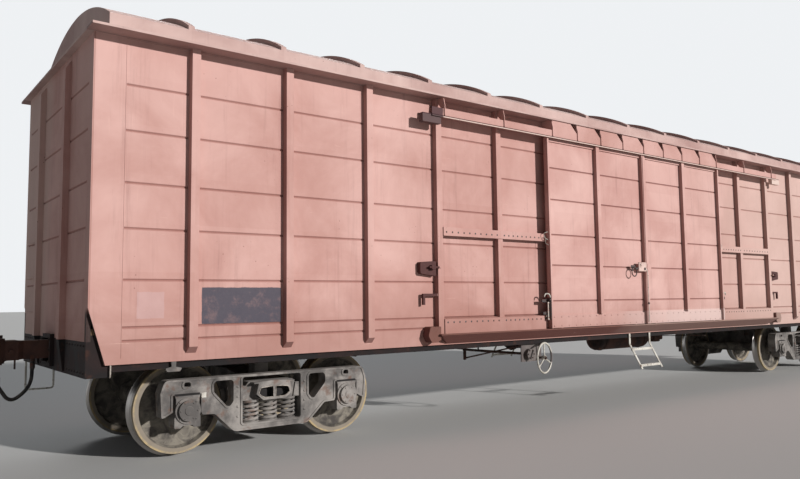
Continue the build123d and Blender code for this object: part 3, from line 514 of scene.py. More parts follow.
def wagon_paint(name, fresh, faded, dirt, streaks=1.0, lining=None, grooves=(), panels=False,
                door=False, dusted=None):
    """Matt primer, faded in clouds and in streaks that the rain drew, browner towards the sills.
    lining is the colour inside, grooves and dusted are rows like WALL_GROOVES and PRIMER_DUSTED,
    and a door has a dusty kick plate at one end and off-white grips at its outer edge."""
    f = Finish(name)
    along, across, clouds = f.away(f.axes[0]), f.away(f.axes[1]), clouds_of(f)
    share = f.math("ADD", f.step(clouds, 0.26, 0.76), sheet_shade(f), clamp=True)
    f.colour = f.mix(share, fresh, faded)
    # Rain streaks: noise that is stretched upright
    streak = f.noise(1.0, 6, 0.65, f.stretch((9, 9, 0.55)))
    fine = f.noise(1.0, 5, 0.6, f.stretch((34, 34, 1.6), (3, 5, 0)))
    f.coat(dirt, f.step(streak, 0.50, 0.78), f.step(fine, 0.35, 0.72), 0.42 * streaks)
    f.coat((226, 188, 176), f.step(fine, 0.60, 0.80), f.step(clouds, 0.45, 0.62), 0.35)
    # Splashes, which thin out over half a metre above the sill, and dust at one end
    ragged = f.times(f.math("SUBTRACT", clouds, 0.5), 0.5)
    f.coat((139, 98, 86), f.step(f.math("ADD", f.up, ragged), 0.95, 1.75, 1.0, 0.0), 0.45)
    if dusted is not None:
        tint, *extent = dusted
        f.coat(tint, one_end(f, ragged, *extent))
    # Grime and painted shade on the flanks and undersides of posts and ribs
    flank = f.math("MAXIMUM", f.math("GREATER_THAN", f.away(f.normal[0]), 0.9),
                   f.math("LESS_THAN", f.normal[2], -0.3))
    f.coat((98, 56, 56), flank, f.math("GREATER_THAN", across, WALL_FACE + 0.001), 0.4)
    # Rust specks and scrapes
    specks = f.cells(17, f.stretch((1, 1, 0.8), (0.3, 0.1, 0)))
    specks = f.times(f.step(specks, 0.05, 0.11, 1.0, 0.0), f.step(f.noise(2.3, 3), 0.52, 0.66))
    f.coat((96, 52, 40), specks, 0.65)
    scrape = f.noise(1.0, 6, 0.7, f.stretch((2.2, 2.2, 26)))
    f.coat((214, 176, 164), f.step(scrape, 0.64, 0.70), f.step(f.noise(1.3, 2), 0.5, 0.62), 0.5)
    if panels:
        blank_panels(f)
        dark_catch_coat(f)
    for axis, face, depth in grooves:
        at = (along, across)[axis]
        f.coat((140, 92, 84), f.step(at, face - depth, face - depth + 0.002),
               f.step(at, face - 0.0005, face - 0.0045), 0.45)
    if door:
        f.coat((220, 203, 198), f.step(f.up, KICK_TOP + 0.005, KICK_TOP),
               one_end(f, ragged, -1.2, 0.8, 0.5))
        f.coat((212, 204, 194), f.math("GREATER_THAN", along, LEAF_OUTER + 0.003),
               f.step(f.noise(40, 5, 0.7), 0.60, 0.52))
    if lining is not None:
        f.coat(f.mix(f.step(clouds, 0.3, 0.7), lining, (120, 104, 84)),
               f.math("LESS_THAN", across, WALL_FACE - 0.035),
               f.math("LESS_THAN", along, BODY_HALF - 0.035))
        # Painted shade in the recess behind each wall's cut lower corner
        corner_painted_shade(f)
    waves = f.relief(f.noise(1.6, 2, 0.4, f.stretch((1, 1, 1.4))), 0.012, 0.55)
    grain = f.relief(f.noise(190, 3, 0.6), 0.0006, over=waves)
    return f.done(f.step(f.noise(60, 3), 0.3, 0.7, 0.62, 0.80),
                  f.relief(specks, 0.0012, 0.6, over=grain), gloss=0.15)


def guide_paint():
    """Primer of the upper door rails: a painted highlight on the lower bead, painted shadow as a
    dark line just above it, and one dark end.
    """
    f = Finish("guide_paint")
    bead_top = 3.715
    f.colour = f.mix(f.step(clouds_of(f), 0.26, 0.76), PRIMER, PRIMER_FADED)
    # Painted highlight on the lower bead, and painted shadow as a dark line in the groove above it
    f.coat((214, 192, 182), f.step(f.up, bead_top, bead_top - 0.002))
    f.coat((70, 44, 42), f.step(f.up, bead_top - 0.001, bead_top),
           f.step(f.up, bead_top + 0.014, bead_top + 0.012), 0.75)
    # Darker at one end of each rail, beyond the stop post
    along = f.math("ADD", side_x(f), f.ragged(0.03))
    f.coat((66, 44, 50), f.step(along, STOP_POST + 0.010, STOP_POST + 0.030, 0.0, 0.9))
    f.coat(PRIMER_DIRT, f.step(f.noise(40, 5, 0.7), 0.60, 0.68, 0.0, 0.4))
    return f.done(0.74, f.skin(190, 0.0006, 3), gloss=0.15)


def from_bogie(f):
    """Distance along from the nearest bogie's centre."""
    return f.away(f.away(f.axes[0]), BOGIE_CENTRE)


def from_axle(f):
    """Distance along from the nearest axle, and height above it."""
    return f.away(from_bogie(f), AXLE_OFFSET), f.math("SUBTRACT", f.up, AXLE_HEIGHT)


def seam_dirt_and_shade(f):
    """Oily dirt and painted shade in the bolsters' recesses, and in the seam between each axle box
    and its frame.
    """
    across = f.away(f.axes[1])
    recess = f.times(f.step(from_bogie(f), 0.188, 0.184),
                     f.step(across, FRAME_FACE - 0.040, FRAME_FACE - 0.035),
                     f.step(across, BOLSTER_FACE - 0.002, BOLSTER_FACE - 0.004),
                     f.within(f.up, 0.505, 0.637, 0.005))
    along, height = from_axle(f)
    seam = f.times(f.step(along, 0.132, 0.122), f.step(across, 1.000, 1.010),
                   f.within(height, 0.140, 0.166, 0.005))
    # Near-black: oily dirt, and painted shade in the recesses and seams
    f.coat((28, 26, 27), f.math("MAXIMUM", recess, seam), 0.95)


def dusty_casting():
    """Cast steel under grey road dust: rough skin, rust where the dust wore off, dust on top."""
    f = Finish("dusty_casting")
    dust = f.step(f.noise(3.2, 6, 0.65, warp=0.3), 0.34, 0.66)
    oil = f.step(f.noise(4.4, 4, 0.5, f.stretch((1, 1, 0.5))), 0.60, 0.74)
    f.colour = f.mix(dust, (90, 87, 85), (150, 145, 140))
    f.coat((104, 70, 52), f.step(f.noise(6.5, 5, 0.6), 0.55, 0.68), 0.55)
    f.coat((34, 31, 30), oil, 0.7)
    f.coat((160, 154, 149), f.upward, 0.6)
    seam_dirt_and_shade(f)
    sand = f.relief(f.noise(150, 4, 0.6), 0.0016, 0.6)
    lumps = f.relief(f.noise(24, 3, 0.5), 0.004, 0.35, over=sand)
    return f.done(f.step(oil, 0, 1, 0.86, 0.5), lumps, gloss=0.25)


def rolled_wheel():
    """Steel wheel: dusty web and rim, bright tread, and a pale ring on the rim's edge."""
    f = Finish("rolled_wheel")
    rim_from, edge_from, tread_from, tread_end = 0.392, 0.426, 0.4535, 0.846
    along, height = from_axle(f)
    radius = f.math("SQRT", f.math("ADD", f.times(along, along), f.times(height, height)))
    grime = f.noise(7, 6, 0.65, warp=0.5)
    f.colour = f.mix(f.step(grime, 0.35, 0.65), (74, 70, 67), (134, 128, 117))
    f.coat((140, 130, 116), f.step(radius, rim_from, rim_from + 0.010), 0.85)
    f.coat((184, 163, 120), f.step(radius, edge_from, edge_from + 0.016),
           f.step(grime, 0.38, 0.60, 0.15, 0.80))
    # The tread shines where the rail rubs it, and it is the only surface beyond its radius
    rubbed = f.times(f.step(radius, tread_from, tread_from + 0.002),
                     f.step(f.away(f.axes[1]), tread_end, tread_end - 0.004))
    f.coat((168, 164, 160), rubbed)
    return f.done(f.step(rubbed, 0.0, 1.0, 0.8, 0.34), f.skin(85, 0.0012), rubbed, gloss=0.25)


def grimy_steel(name, soot, primer, rusty=0.6):
    """Underframe steel, once red-brown, under black brake dust and road dirt."""
    f = Finish(name)
    grime = f.noise(2.6, 6, 0.65, warp=0.4)
    f.colour = f.mix(f.step(grime, 0.35, 0.68), soot, primer)
    f.coat((112, 100, 90), f.upward, 0.5)
    f.coat((98, 60, 42), f.step(f.noise(9, 5, 0.6), 0.58, 0.70), rusty)
    return f.done(f.step(grime, 0.3, 0.7, 0.72, 0.9), f.skin(110, 0.0012), gloss=0.2)


def chipped_white(name, fresh=(214, 212, 202), greyed=(158, 152, 142), bare_within=0.0):
    """Off-white paint on bars that are stepped on and held: chipped to rust, greyed by hands.
    Parts nearer to the wagon's middle line than bare_within are bare and grimy instead."""
    f = Finish(name)
    chips = f.step(f.noise(26, 6, 0.7, warp=0.6), 0.57, 0.62)
    grey = f.step(f.noise(5, 4), 0.35, 0.7)
    f.colour = f.mix(grey, fresh, greyed)
    f.coat((92, 66, 54), chips)
    if bare_within:
        f.coat(f.mix(grey, (98, 90, 86), (70, 60, 57)),
               f.step(f.away(f.axes[1]), bare_within + 0.001, bare_within))
    return f.done(f.step(chips, 0, 1, 0.5, 0.85), f.relief(chips, 0.0008, 0.8))


def blackened_iron():
    """Forged fittings: dark scale with brown rust in its pits."""
    f = Finish("blackened_iron")
    rust = f.step(f.noise(30, 5, 0.65), 0.48, 0.66)
    f.colour = f.mix(f.times(rust, 0.7), (46, 36, 35), (98, 60, 46))
    return f.done(f.step(rust, 0, 1, 0.55, 0.85), f.skin(140, 0.001))


def dusty_rubber():
    """Black rubber, greyed by dust, mostly on its upper side."""
    f = Finish("dusty_rubber")
    dust = f.times(f.math("ADD", f.upward, 0.25), f.step(f.noise(12, 4), 0.35, 0.65))
    f.colour = f.mix(dust, (34, 33, 33), (104, 98, 92))
    return f.done(0.78, f.relief(f.noise(220, 2), 0.0006), gloss=0.3)


def pale_casting():
    """Pale cast colour, for the bolster rims, and as a painted highlight for the corner rods."""
    f = Finish("pale_casting")
    f.colour = f.mix(f.step(f.noise(22, 5, 0.65), 0.38, 0.60), (112, 104, 98), (182, 174, 164))
    return f.done(0.78, f.skin(130, 0.0012), gloss=0.25)


def deck_boards():
    """Planks across the wagon, with open joints, long grain, and a shade of its own for each."""
    f = Finish("deck_boards")
    plank = 0.14
    count = f.math("DIVIDE", f.axes[0], plank)
    number = f.math("FLOOR", count)
    joint = f.within(f.math("SUBTRACT", count, number), 0.0, 1.0, 0.03)
    shade = f.add("ShaderNodeTexWhiteNoise", {"W": number}, noise_dimensions="1D")
    grain = f.noise(1.0, 8, 0.7, f.stretch((60, 2.2, 10)), 0.5)
    f.colour = f.mix(shade.outputs["Value"], (112, 92, 70), (142, 122, 98))
    f.coat((72, 56, 42), f.step(grain, 0.4, 0.7), 0.6)
    f.colour = f.mix(joint, (24, 20, 17), f.colour)
    height = f.math("ADD", joint, f.times(grain, 0.25))
    return f.done(0.82, f.relief(height, 0.004, 0.9), gloss=0.2)


paint = wagon_paint("wall_paint", PRIMER, PRIMER_FADED, PRIMER_DIRT, lining=(150, 132, 104),
                    grooves=WALL_GROOVES, panels=True, dusted=PRIMER_DUSTED)
leaf_paint = wagon_paint("door_paint", (188, 144, 136), (213, 175, 167), PRIMER_DIRT,
                         grooves=LEAF_GROOVES, door=True, dusted=PRIMER_DUSTED)
roof_paint = wagon_paint("roof_paint", (170, 138, 132), (206, 180, 173), (112, 88, 84), streaks=0.7)
sill_paint = wagon_paint("sill_paint", (84, 54, 50), (106, 72, 66), (50, 34, 32),
                         dusted=SILL_DUSTED)
rail_paint = guide_paint()
casting = dusty_casting()
wheel_steel = rolled_wheel()
underframe = grimy_steel("grimy_steel", (40, 34, 33), (92, 66, 58))
# Near-black side and end sills: dirt, and painted shade under the walls' lower edges
sill_soot_and_shade = grimy_steel("sill_soot_and_shade", (22, 20, 21), (44, 34, 33), rusty=0.2)
white = chipped_white("chipped_white")
wheel_white = chipped_white("handwheel_white", bare_within=1.3765)
plate_paint = chipped_white("lock_plate_paint", (212, 184, 174), (172, 142, 134))
iron = blackened_iron()
rubber = dusty_rubber()
pale_cast_and_highlight = pale_casting()
boards = deck_boards()

# Finishes of the CAD nodes by the first words of their names. The walls, which aren't named here,
# have the wall paint
NODE_FINISHES = (
    (("wheelset",), wheel_steel),
    (("side_frames", "bogie_bolster", "springs", "axle_boxes", "brake_beams", "friction_wedges",
      "rope_hooks"), casting),
    (("side_sills", "end_sills"), sill_soot_and_shade),
    (("coupler", "centre_sill", "body_bolsters", "cross_bearers", "draft_", "air_",
      "brake_cylinder", "train_pipe"), underframe),
    (("handbrake",), wheel_white),
    (("side_steps",), white),
    (("floor",), boards),
    (("roof", "side_eaves", "end_eaves"), roof_paint),
    (("door_leaf", "door_headers"), leaf_paint),
    (("door_sill_rails",), sill_paint),
    (("door_guide_rails",), rail_paint))

for node, piece in nodes.items():
    finish = next((finish for starts, finish in NODE_FINISHES if node.startswith(starts)), paint)
    piece.data.materials.clear()
    piece.data.materials.append(finish)


# Springs: real coils in place of the plain stacks

def coil(radius, wire, turns, height, hand=1):
    """Helix (r cos a, r sin a, z). Its flat ends, three quarters of a turn together, rest on the
    seats, and between them z rises as u + 0.12 sin(2 pi u) / (2 pi) while u goes from 0 to 1."""
    t = np.linspace(0, 1, int(turns * 20) + 1)
    a = hand * t * turns * 2 * math.pi
    flat_part = 0.75 / turns
    u = np.clip((t - flat_part / 2) / (1 - flat_part), 0, 1)
    u = u + 0.12 * np.sin(2 * math.pi * u) / (2 * math.pi)
    z = wire + (height - 2 * wire) * u
    return tube(np.stack([radius * np.cos(a), radius * np.sin(a), z], 1), wire, 10)


def spring_set(end, side, node):
    """Outer and inner coil at six places of one bogie, with cup rings above and below."""
    height = SPRING_TOP - SPRING_SEAT
    outer = coil(0.083, 0.0145, 5.0, height)
    inner = coil(0.046, 0.0095, 6.5, height, -1)
    cup = turned([(0.0, 0.0), (0.099, 0.0), (0.099, 0.010), (0.066, 0.011), (0.064, 0.016),
                  (0.0, 0.016)])
    top = (cup[0] * [1, 1, -1] + [0, 0, height], cup[1][:, ::-1])
    matrices = np.tile(np.eye(4), (6, 1, 1))
    matrices[:, :3, 3] = [(side * BOGIE_CENTRE + k * SPRING_PITCH, y, SPRING_SEAT)
                          for y in (-SPRING_Y, SPRING_Y) for k in (-1, 0, 1)]
    points, quads = copies(*joined([outer, inner, cup, top]), matrices)
    piece = mesh_piece("coil_springs_" + end, points, quads, casting, "bogie_" + end)
    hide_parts(node)


for end, side in ENDS:
    spring_set(end, side, "springs_" + end)


# Fittings on the walls and the ends

def rub_bolts():
    """Flush bolts, ten to a bay, on the two strips along which the open leaves rub."""
    bays, strips = ((2.26, 3.00), (3.13, 3.99)), (1.235, 2.325)
    along = np.concatenate([np.linspace(*bay, 10) for bay in bays])
    x, z = (a.ravel() for a in np.meshgrid(along, strips))
    places = np.stack([x, np.full(len(x), RUB_FACE), z], 1)
    mesh_piece("rub_bolts", *four_ways(*heads(FLUSH, 10, places, OUTWARDS)), iron)


def wall_seams():
    """Weld beads: upright beside each corner strip, and along the walls under the eaves."""
    x, length = BODY_HALF - 0.290, 5.6
    upright = tube([(x, WALL_FACE, 1.02), (x, WALL_FACE, 3.94)], 0.0035, 6)
    level = tube([(x - length, WALL_FACE, EAVE - 0.004), (x, WALL_FACE, EAVE - 0.004)], 0.006, 6)
    mesh_piece("wall_seams", *four_ways(*joined([upright, level])), paint)


def end_fittings():
    """At each end: the uncoupling bar with its handle, three grab irons and a corner stirrup."""
    x = BODY_HALF
    bar_x, bar_z, handle_y, lift_y = x + 0.095, 1.005, -1.34, -0.27
    bar = rounded_path([(bar_x, handle_y, bar_z - 0.24), (bar_x, handle_y, bar_z),
                        (bar_x, lift_y, bar_z), (bar_x + 0.19, lift_y + 0.03, bar_z + 0.09)], 0.04)
    brackets = [bevelled_box((x - 0.002, y - 0.006, bar_z - 0.045),
                             (bar_x + 0.02, y + 0.006, bar_z + 0.03)) for y in (-1.22, -0.36)]
    mesh_piece("uncoupling_bars", *opposite(*joined([tube(bar, 0.011), *brackets])), iron)
    root, front, grab_ends = x - 0.004, x + 0.056, (-1.03, -0.65)
    grabs = [tube(rounded_path([(root, grab_ends[0], z), (front, grab_ends[0], z),
                                (front, grab_ends[1], z), (root, grab_ends[1], z)]), 0.009)
             for z in (1.42, 1.80, 2.18)]
    mesh_piece("grab_irons", *opposite(*joined(grabs)), paint)
    outer, inner, y, top, tread = x - 0.03, x - 0.33, -1.372, 0.95, 0.52
    stirrup = rounded_path([(outer, y, top), (outer, y, tread), (inner, y, tread),
                            (inner, y, top)], 0.04)
    mesh_piece("corner_stirrups", *opposite(*tube(stirrup, 0.012)), white)
    # Pale upright rods inside the corners: painted highlight, standing for the lit edge of a plate
    rod_x, rod_y = x - 0.205, 1.389
    rod = tube([(rod_x, rod_y, 0.975), (rod_x, rod_y, 0.868), (rod_x, rod_y - 0.009, 0.855)],
               0.007, 8)
    mesh_piece("corner_highlight_rods", *four_ways(*rod), pale_cast_and_highlight)


def end_bolts():
    """Rivets along the end sills, and nuts round the collar of each coupler's mouth."""
    row = np.linspace(0.70, 1.30, 7)
    y = np.concatenate([-row, row, [-0.43, 0.43]])
    sill = [(BODY_HALF, across, up) for up in (0.90, 1.14) for across in y]
    collar = [(BODY_HALF + 0.04, across, up)
              for across in (-0.151, 0.151) for up in (0.94, 1.06, 1.16)]
    bolts = joined([heads(RIVET, 10, sill, ENDWARDS), heads(NUT, 6, collar, ENDWARDS, 0.9)])
    mesh_piece("end_rivets", *opposite(*bolts), sill_soot_and_shade)


def air_hoses():
    """Rubber hose with its metal head, from the angle cock at each end up to its hook."""
    cock_x, cock_y, cock_z = 8.168, 0.33, 0.925
    sweep = rounded_path([(cock_x, cock_y, cock_z), (cock_x + 0.007, cock_y, 0.66),
                          (8.37, 0.31, 0.50), (8.50, 0.28, 0.70)], 0.16, 14)
    hose = tube(sweep, 0.019, 12)
    collar = tube([(cock_x, cock_y, 0.90), (cock_x, cock_y, 0.84)], 0.026, 12)
    head_x, head_y, head_z = 8.51, 0.275, 0.735
    head = block((head_x, head_y, head_z), (0.035, 0.03, 0.05), 0.012)
    hook = tube(rounded_path([(head_x, head_y, 0.77), (head_x, head_y, 0.90),
                              (8.40, 0.21, 0.965)]), 0.006, 8)
    for name, finish, parts in (("air_hoses", rubber, [hose]),
                                ("hose_heads", iron, [collar, head, hook])):
        mesh_piece(name, *four_ways(*joined(parts), sides=False), finish)


def coupler_details():
    """On each coupler: rim ribs of the head, the lock's crank on its side, the lifting chain."""
    z = COUPLER_HEIGHT
    ribs = [bevelled_box((COUPLER_FACE - 0.31, -0.152, rib_z - 0.007),
                         (COUPLER_FACE - 0.17, 0.115, rib_z + 0.007), 0.004)
            for rib_z in (z - 0.088, z + 0.088)]
    shaft, eye = COUPLER_FACE - 0.235, COUPLER_FACE - 0.33
    crank = tube([(shaft, -0.17, z - 0.01), (shaft, 0.15, z - 0.01)], 0.020, 12)
    arm = tube([(shaft, -0.165, z - 0.01), (eye, -0.175, z + 0.05)], 0.012, 8)
    # Chain from the crank to the bar, each link a quarter turn from the last
    start = np.array([eye, -0.175, z + 0.05])
    end = np.array([8.355, -0.24, 1.095])
    links, sag = 9, 0.05
    count = np.arange(links)
    t = (count[:, None] + 0.5) / links
    places = start + (end - start) * t - [0, 0, sag] * np.sin(math.pi * t)
    link = tube(oval((0, 0, 0), 0.011, 0.021, 0, 12), 0.0035, 6, closed=True)
    turns = np.where(count % 2, math.pi / 2, 0)
    chain = copies(*link, facing(np.gradient(places, axis=0), places, turns))
    points, quads = joined(ribs + [crank, arm, chain])
    for name, side in ENDS:
        mesh_piece("coupler_lock_" + name, points * [side, side, 1], quads, underframe)


rub_bolts()
wall_seams()
end_fittings()
end_bolts()
air_hoses()
coupler_details()


# Fittings on the door leaves, worked out for a leaf at +X and +Y and mirrored to its place

def latch_parts():
    """Iron and pale parts at the leaf's outer edge: a backing plate, two prongs and a catch with
    its hook, and above them a clasp with a wire. Places along are counted from the edge."""
    dark = [bevelled_box((-0.003, 1.500, 1.225), (0.013, 1.560, 1.515)),
            bevelled_box((0.005, 1.495, 1.455), (0.130, 1.511, 1.497)),
            bevelled_box((0.005, 1.495, 1.290), (0.110, 1.511, 1.330)),
            bevelled_box((0.012, 1.500, 1.235), (0.050, 1.518, 1.330), 0.004),
            tube([(0.0, 1.548, 1.490), (0.030, 1.548, 1.490)], 0.013, 12)]
    hook = rounded_path([(0.004, 1.548, 1.520), (0.030, 1.548, 1.570), (0.095, 1.540, 1.572),
                         (0.110, 1.532, 1.530)])
    clasp = rounded_path([(-0.004, 1.535, 2.300), (0.060, 1.530, 2.315), (0.085, 1.524, 2.385),
                          (0.020, 1.545, 2.405)], 0.04)
    wire = rounded_path([(0.045, 1.530, 2.312), (0.055, 1.528, 2.250), (0.010, 1.545, 2.225)])
    pale = [tube(hook, 0.009, 8), tube(clasp, 0.0055, 8), tube(wire, 0.003, 6),
            bevelled_box((0.048, 1.500, 1.255), (0.054, 1.517, 1.285))]
    return [[(points + [LEAF_OUTER, 0, 0], quads) for points, quads in parts]
            for parts in (dark, pale)]


def lock_parts():
    """Iron parts, rod and plate of the lock, on the leaf without the cover strip: a hasp with its
    ring, a clip on the rod, and two studs on the plate. Y is counted from the leaf's face, and
    heights from the lock's middle."""
    dark = [tube(oval((0.362, 0.024, -0.082), 0.060, 0.064, 1), 0.0085, 8, closed=True),
            bevelled_box((0.310, -0.002, -0.030), (0.410, 0.008, 0.022)),
            bevelled_box((0.345, 0.006, -0.024), (0.379, 0.036, -0.004), 0.005),
            bevelled_box((0.228, 0.002, -0.040), (0.312, 0.014, -0.012)),
            bevelled_box((0.016, 0.022, -0.568), (0.044, 0.038, -0.538)),
            tube([(0.080, 0.010, -0.030), (0.080, 0.021, -0.030)], 0.022, 12),
            tube([(0.190, 0.010, 0.030), (0.190, 0.020, 0.030)], 0.010)]
    rod = tube(rounded_path([(0.034, 0.012, -0.030), (0.030, 0.030, -0.100),
                             (0.030, 0.030, -0.833)]), 0.0055, 8)
    plate = bevelled_box((0.028, -0.002, -0.070), (0.232, 0.016, 0.070), 0.008)
    return [[(points + [0, LEAF_FACE, LOCK_HEIGHT], quads) for points, quads in parts]
            for parts in (dark, [rod], [plate])]


def leaf_fittings():
    """Latches, locks and kick plate bolts on the four leaves."""
    x = np.concatenate([np.linspace(0.12, 1.02, 7), np.linspace(1.21, 2.12, 7)])
    places = [(along, LEAF_BACK + 0.034, KICK_TOP - down) for down in (0.165, 0.045) for along in x]
    bolts = heads(RIVET, 10, places, OUTWARDS, 0.8)
    # Columns for the leaf's name, its signs along X and Y, and whether the other leaf has the strip
    for name, end, side, locked in (("near_left", -1, -1, True), ("near_right", 1, -1, False),
                                    ("far_left", -1, 1, False), ("far_right", 1, 1, True)):
        dark, pale = latch_parts()
        pieces = [("kick_rivets", [bolts], leaf_paint)]
        if locked:
            lock, rod, plate = lock_parts()
            dark, pale = dark + lock, pale + rod
            pieces.append(("lock_plate", plate, plate_paint))
        pieces += [("latch", dark, iron), ("hooks", pale, white)]
        for label, parts, finish in pieces:
            points, quads = joined(parts)
            quads = quads if end * side > 0 else quads[:, ::-1]
            mesh_piece(f"leaf_{label}_{name}", points * [end, side, 1], quads, finish,
                       "door_" + name)


leaf_fittings()


# Fittings on the bogies, worked out about the bogie's centre

def on_bogies(label, points, quads, finish):
    """One mesh on each bogie."""
    for name, side in ENDS:
        mesh_piece(f"{label}_{name}", points + [side * BOGIE_CENTRE, 0, 0], quads, finish,
                   "bogie_" + name)


def axle_cap_bolts():
    """Four nuts round each axle box ring, and six screws and a boss on its cap."""
    middle = (AXLE_OFFSET, CAP_FACE, AXLE_HEIGHT)
    boss = turned([(0.0, -0.001), (0.046, 0.0), (0.043, 0.006), (0.020, 0.008), (0.0, 0.008)], 20)
    nuts = oval((AXLE_OFFSET, BOX_FACE, AXLE_HEIGHT), 0.114, 0.114, 1, 4, math.pi / 4)
    screws = oval(middle, 0.084, 0.084, 1, 6)
    parts = [heads(NUT, 6, nuts, OUTWARDS, 0.62), heads(NUT, 6, screws, OUTWARDS, 0.5),
             copies(*boss, facing(OUTWARDS, middle))]
    on_bogies("axle_cap_nuts", *four_ways(*joined(parts)), casting)


def frame_white_squares():
    """Small white square on each side frame, above the inner edge of its outer axle box."""
    for name, side in ENDS:
        white_square = block((side * (BOGIE_CENTRE + AXLE_OFFSET - 0.168), FRAME_FACE + 0.0005,
                     AXLE_HEIGHT + 0.133), (0.025, 0.0015, 0.025), 0.001)
        mesh_piece("frame_white_squares_" + name, *four_ways(*white_square, ends=False), white, "bogie_" + name)


def bolster_rims():
    """Pale rims round the two recesses in each bolster end, and rivets of the columns."""
    corners = [(0.014, 0.514), (0.118, 0.514), (0.184, 0.557), (0.160, 0.616), (0.014, 0.628)]
    x, z = rounded_path(corners + corners[:1], 0.018, 4)[:-1].T
    path = np.stack([x, np.full(len(x), BOLSTER_FACE), z], 1)
    on_bogies("bolster_rims", *four_ways(*tube(path, 0.0045, 6, closed=True)), pale_cast_and_highlight)
    places = [(0.39, 1.081, up) for up in (0.34, 0.44, 0.54, 0.64)]
    on_bogies("frame_rivets", *four_ways(*heads(RIVET, 10, places, OUTWARDS, 1.1)), casting)


def brake_rigging():
    """Hangers of the shoes, an upright lever at each beam, and the rod that joins the levers."""
    eye_x, eye_z, shoe_x, shoe_y = 0.352, 0.712, 0.400, 0.801
    hanger = rounded_path([(eye_x, 0.946, eye_z), (eye_x, shoe_y, eye_z), (shoe_x, shoe_y, 0.44)])
    parts = [tube(hanger, 0.011, 8),
             tube([(eye_x, 0.93, eye_z), (eye_x, 0.95, eye_z)], 0.024),
             tube([(shoe_x, shoe_y - 0.031, 0.445), (shoe_x, shoe_y + 0.031, 0.445)], 0.014, 8)]
    lever = upright_plate([(0.238, 0.30), (0.272, 0.30), (0.276, 0.44), (0.262, 0.84),
                           (0.236, 0.84), (0.232, 0.44)], 0.009)
    pin = tube([(0.254, -0.022, 0.43), (0.254, 0.022, 0.43)], 0.013, 8)
    rod = tube([(-0.24, 0, 0.325), (0.24, 0, 0.325)], 0.016)
    rigging = [four_ways(*joined(parts)), four_ways(*lever, sides=False),
               four_ways(*pin, sides=False), rod]
    on_bogies("brake_rigging", *joined(rigging), casting)


axle_cap_bolts()
frame_white_squares()
bolster_rims()
brake_rigging()


# Brake gear under the body

def brake_rods():
    """Levers at the two ends of the cylinder, the tie between them, and the rods to the bogies."""
    z, low, eye_z = BRAKE_LINE, BRAKE_LINE - 0.012, BRAKE_LINE - 0.030
    rod_end, far_end, tie_y, pull_y, fork_x = -1.05, -0.185, 0.18, -0.09, 5.80
    parts = [block((far_end, 0.28, z), (0.020, 0.40, 0.014), 0.005),
             tube([(rod_end, tie_y, z), (far_end, tie_y, z)], 0.017),
             tube([(-fork_x, 0.0, low), (-4.9, -0.05, low), (rod_end, pull_y, eye_z)], 0.014),
             tube([(far_end, pull_y, eye_z), (4.9, 0.03, low), (fork_x, 0.0, low)], 0.014),
             tube([(1.15, -0.058, z - 0.025), (1.18, -0.058, z - 0.025), (2.05, -0.037, z - 0.022),
                   (2.08, -0.037, z - 0.022)], [0.03, 0.043, 0.043, 0.03], 14)]
    parts += [tube([(x, y, z - 0.052), (x, y, z + 0.030)], 0.013, 8)
              for x, y in ((rod_end, pull_y), (rod_end, tie_y), (far_end, pull_y),
                           (far_end, tie_y), (rod_end, 0.56), (far_end, 0.62))]
    for x, y in ((-4.4, -0.055), (-2.55, -0.075), (2.55, -0.025), (4.4, 0.02)):
        loop = rounded_path([(x, y - 0.075, 0.935), (x, y - 0.075, z - 0.068),
                             (x, y + 0.075, z - 0.068), (x, y + 0.075, 0.935)])
        parts.append(tube(loop, 0.007, 8))
    parts += [block((x - 0.0125, 0, z - 0.012), (0.0325, 0.022, 0.022), 0.005)
              for x in (-fork_x, fork_x)]
    mesh_piece("brake_rods", *joined(parts), underframe)


def valve_and_pipes():
    """Brake valve on a bracket, its pipes to the train pipe, tank and cylinder, and pull rods."""
    x, y, z = 1.60, -0.56, BRAKE_LINE + 0.01
    near_rod, far_rod = x + 0.26, x + 0.14
    parts = [block((x, y, z), (0.09, 0.08, 0.13), 0.012),
             block((x - 0.17, y, z), (0.07, 0.065, 0.08), 0.014),
             block((x + 0.15, y, z - 0.02), (0.05, 0.065, 0.08), 0.014),
             bevelled_box((x - 0.02, y - 0.05, z + 0.12), (x + 0.02, y + 0.05, 1.231), 0.004)]
    runs = [([(x, y + 0.07, z + 0.05), (x, 0.10, z + 0.02), (x, 0.33, 1.01)], 0.013),
            ([(x - 0.20, y, z), (x - 0.38, y - 0.03, z), (1.16, -0.62, z - 0.02)], 0.013),
            ([(x, y + 0.07, z - 0.06), (x - 0.25, -0.20, z - 0.02), (0.10, 0.33, z - 0.02),
              (-0.22, 0.50, z)], 0.010),
            ([(x + 0.19, y, z - 0.04), (near_rod, y, z - 0.04), (near_rod, -1.34, z - 0.01)],
             0.006),
            ([(far_rod, y + 0.05, z - 0.04), (far_rod, 1.34, z - 0.01)], 0.006)]
    parts += [tube(rounded_path(corners, 0.05), radius, 8) for corners, radius in runs]
    parts += [tube(oval((at, across, z - 0.01), 0.028, 0.028, 2, 14), 0.006, 6, closed=True)
              for at, across in ((near_rod, -1.365), (far_rod, 1.365))]
    mesh_piece("brake_valve", *joined(parts), underframe)
    straps = [tube(oval((at, -0.62, 0.83), 0.168, 0.168, 0, 28), 0.007, 6, closed=True)
              for at in (0.0, 1.02)]
    cover_nuts = heads(NUT, 6, oval((-0.814, 0.56, BRAKE_LINE), 0.189, 0.189, 0, 8), (-1, 0, 0))
    mesh_piece("tank_straps", *joined(straps + [cover_nuts]), underframe)


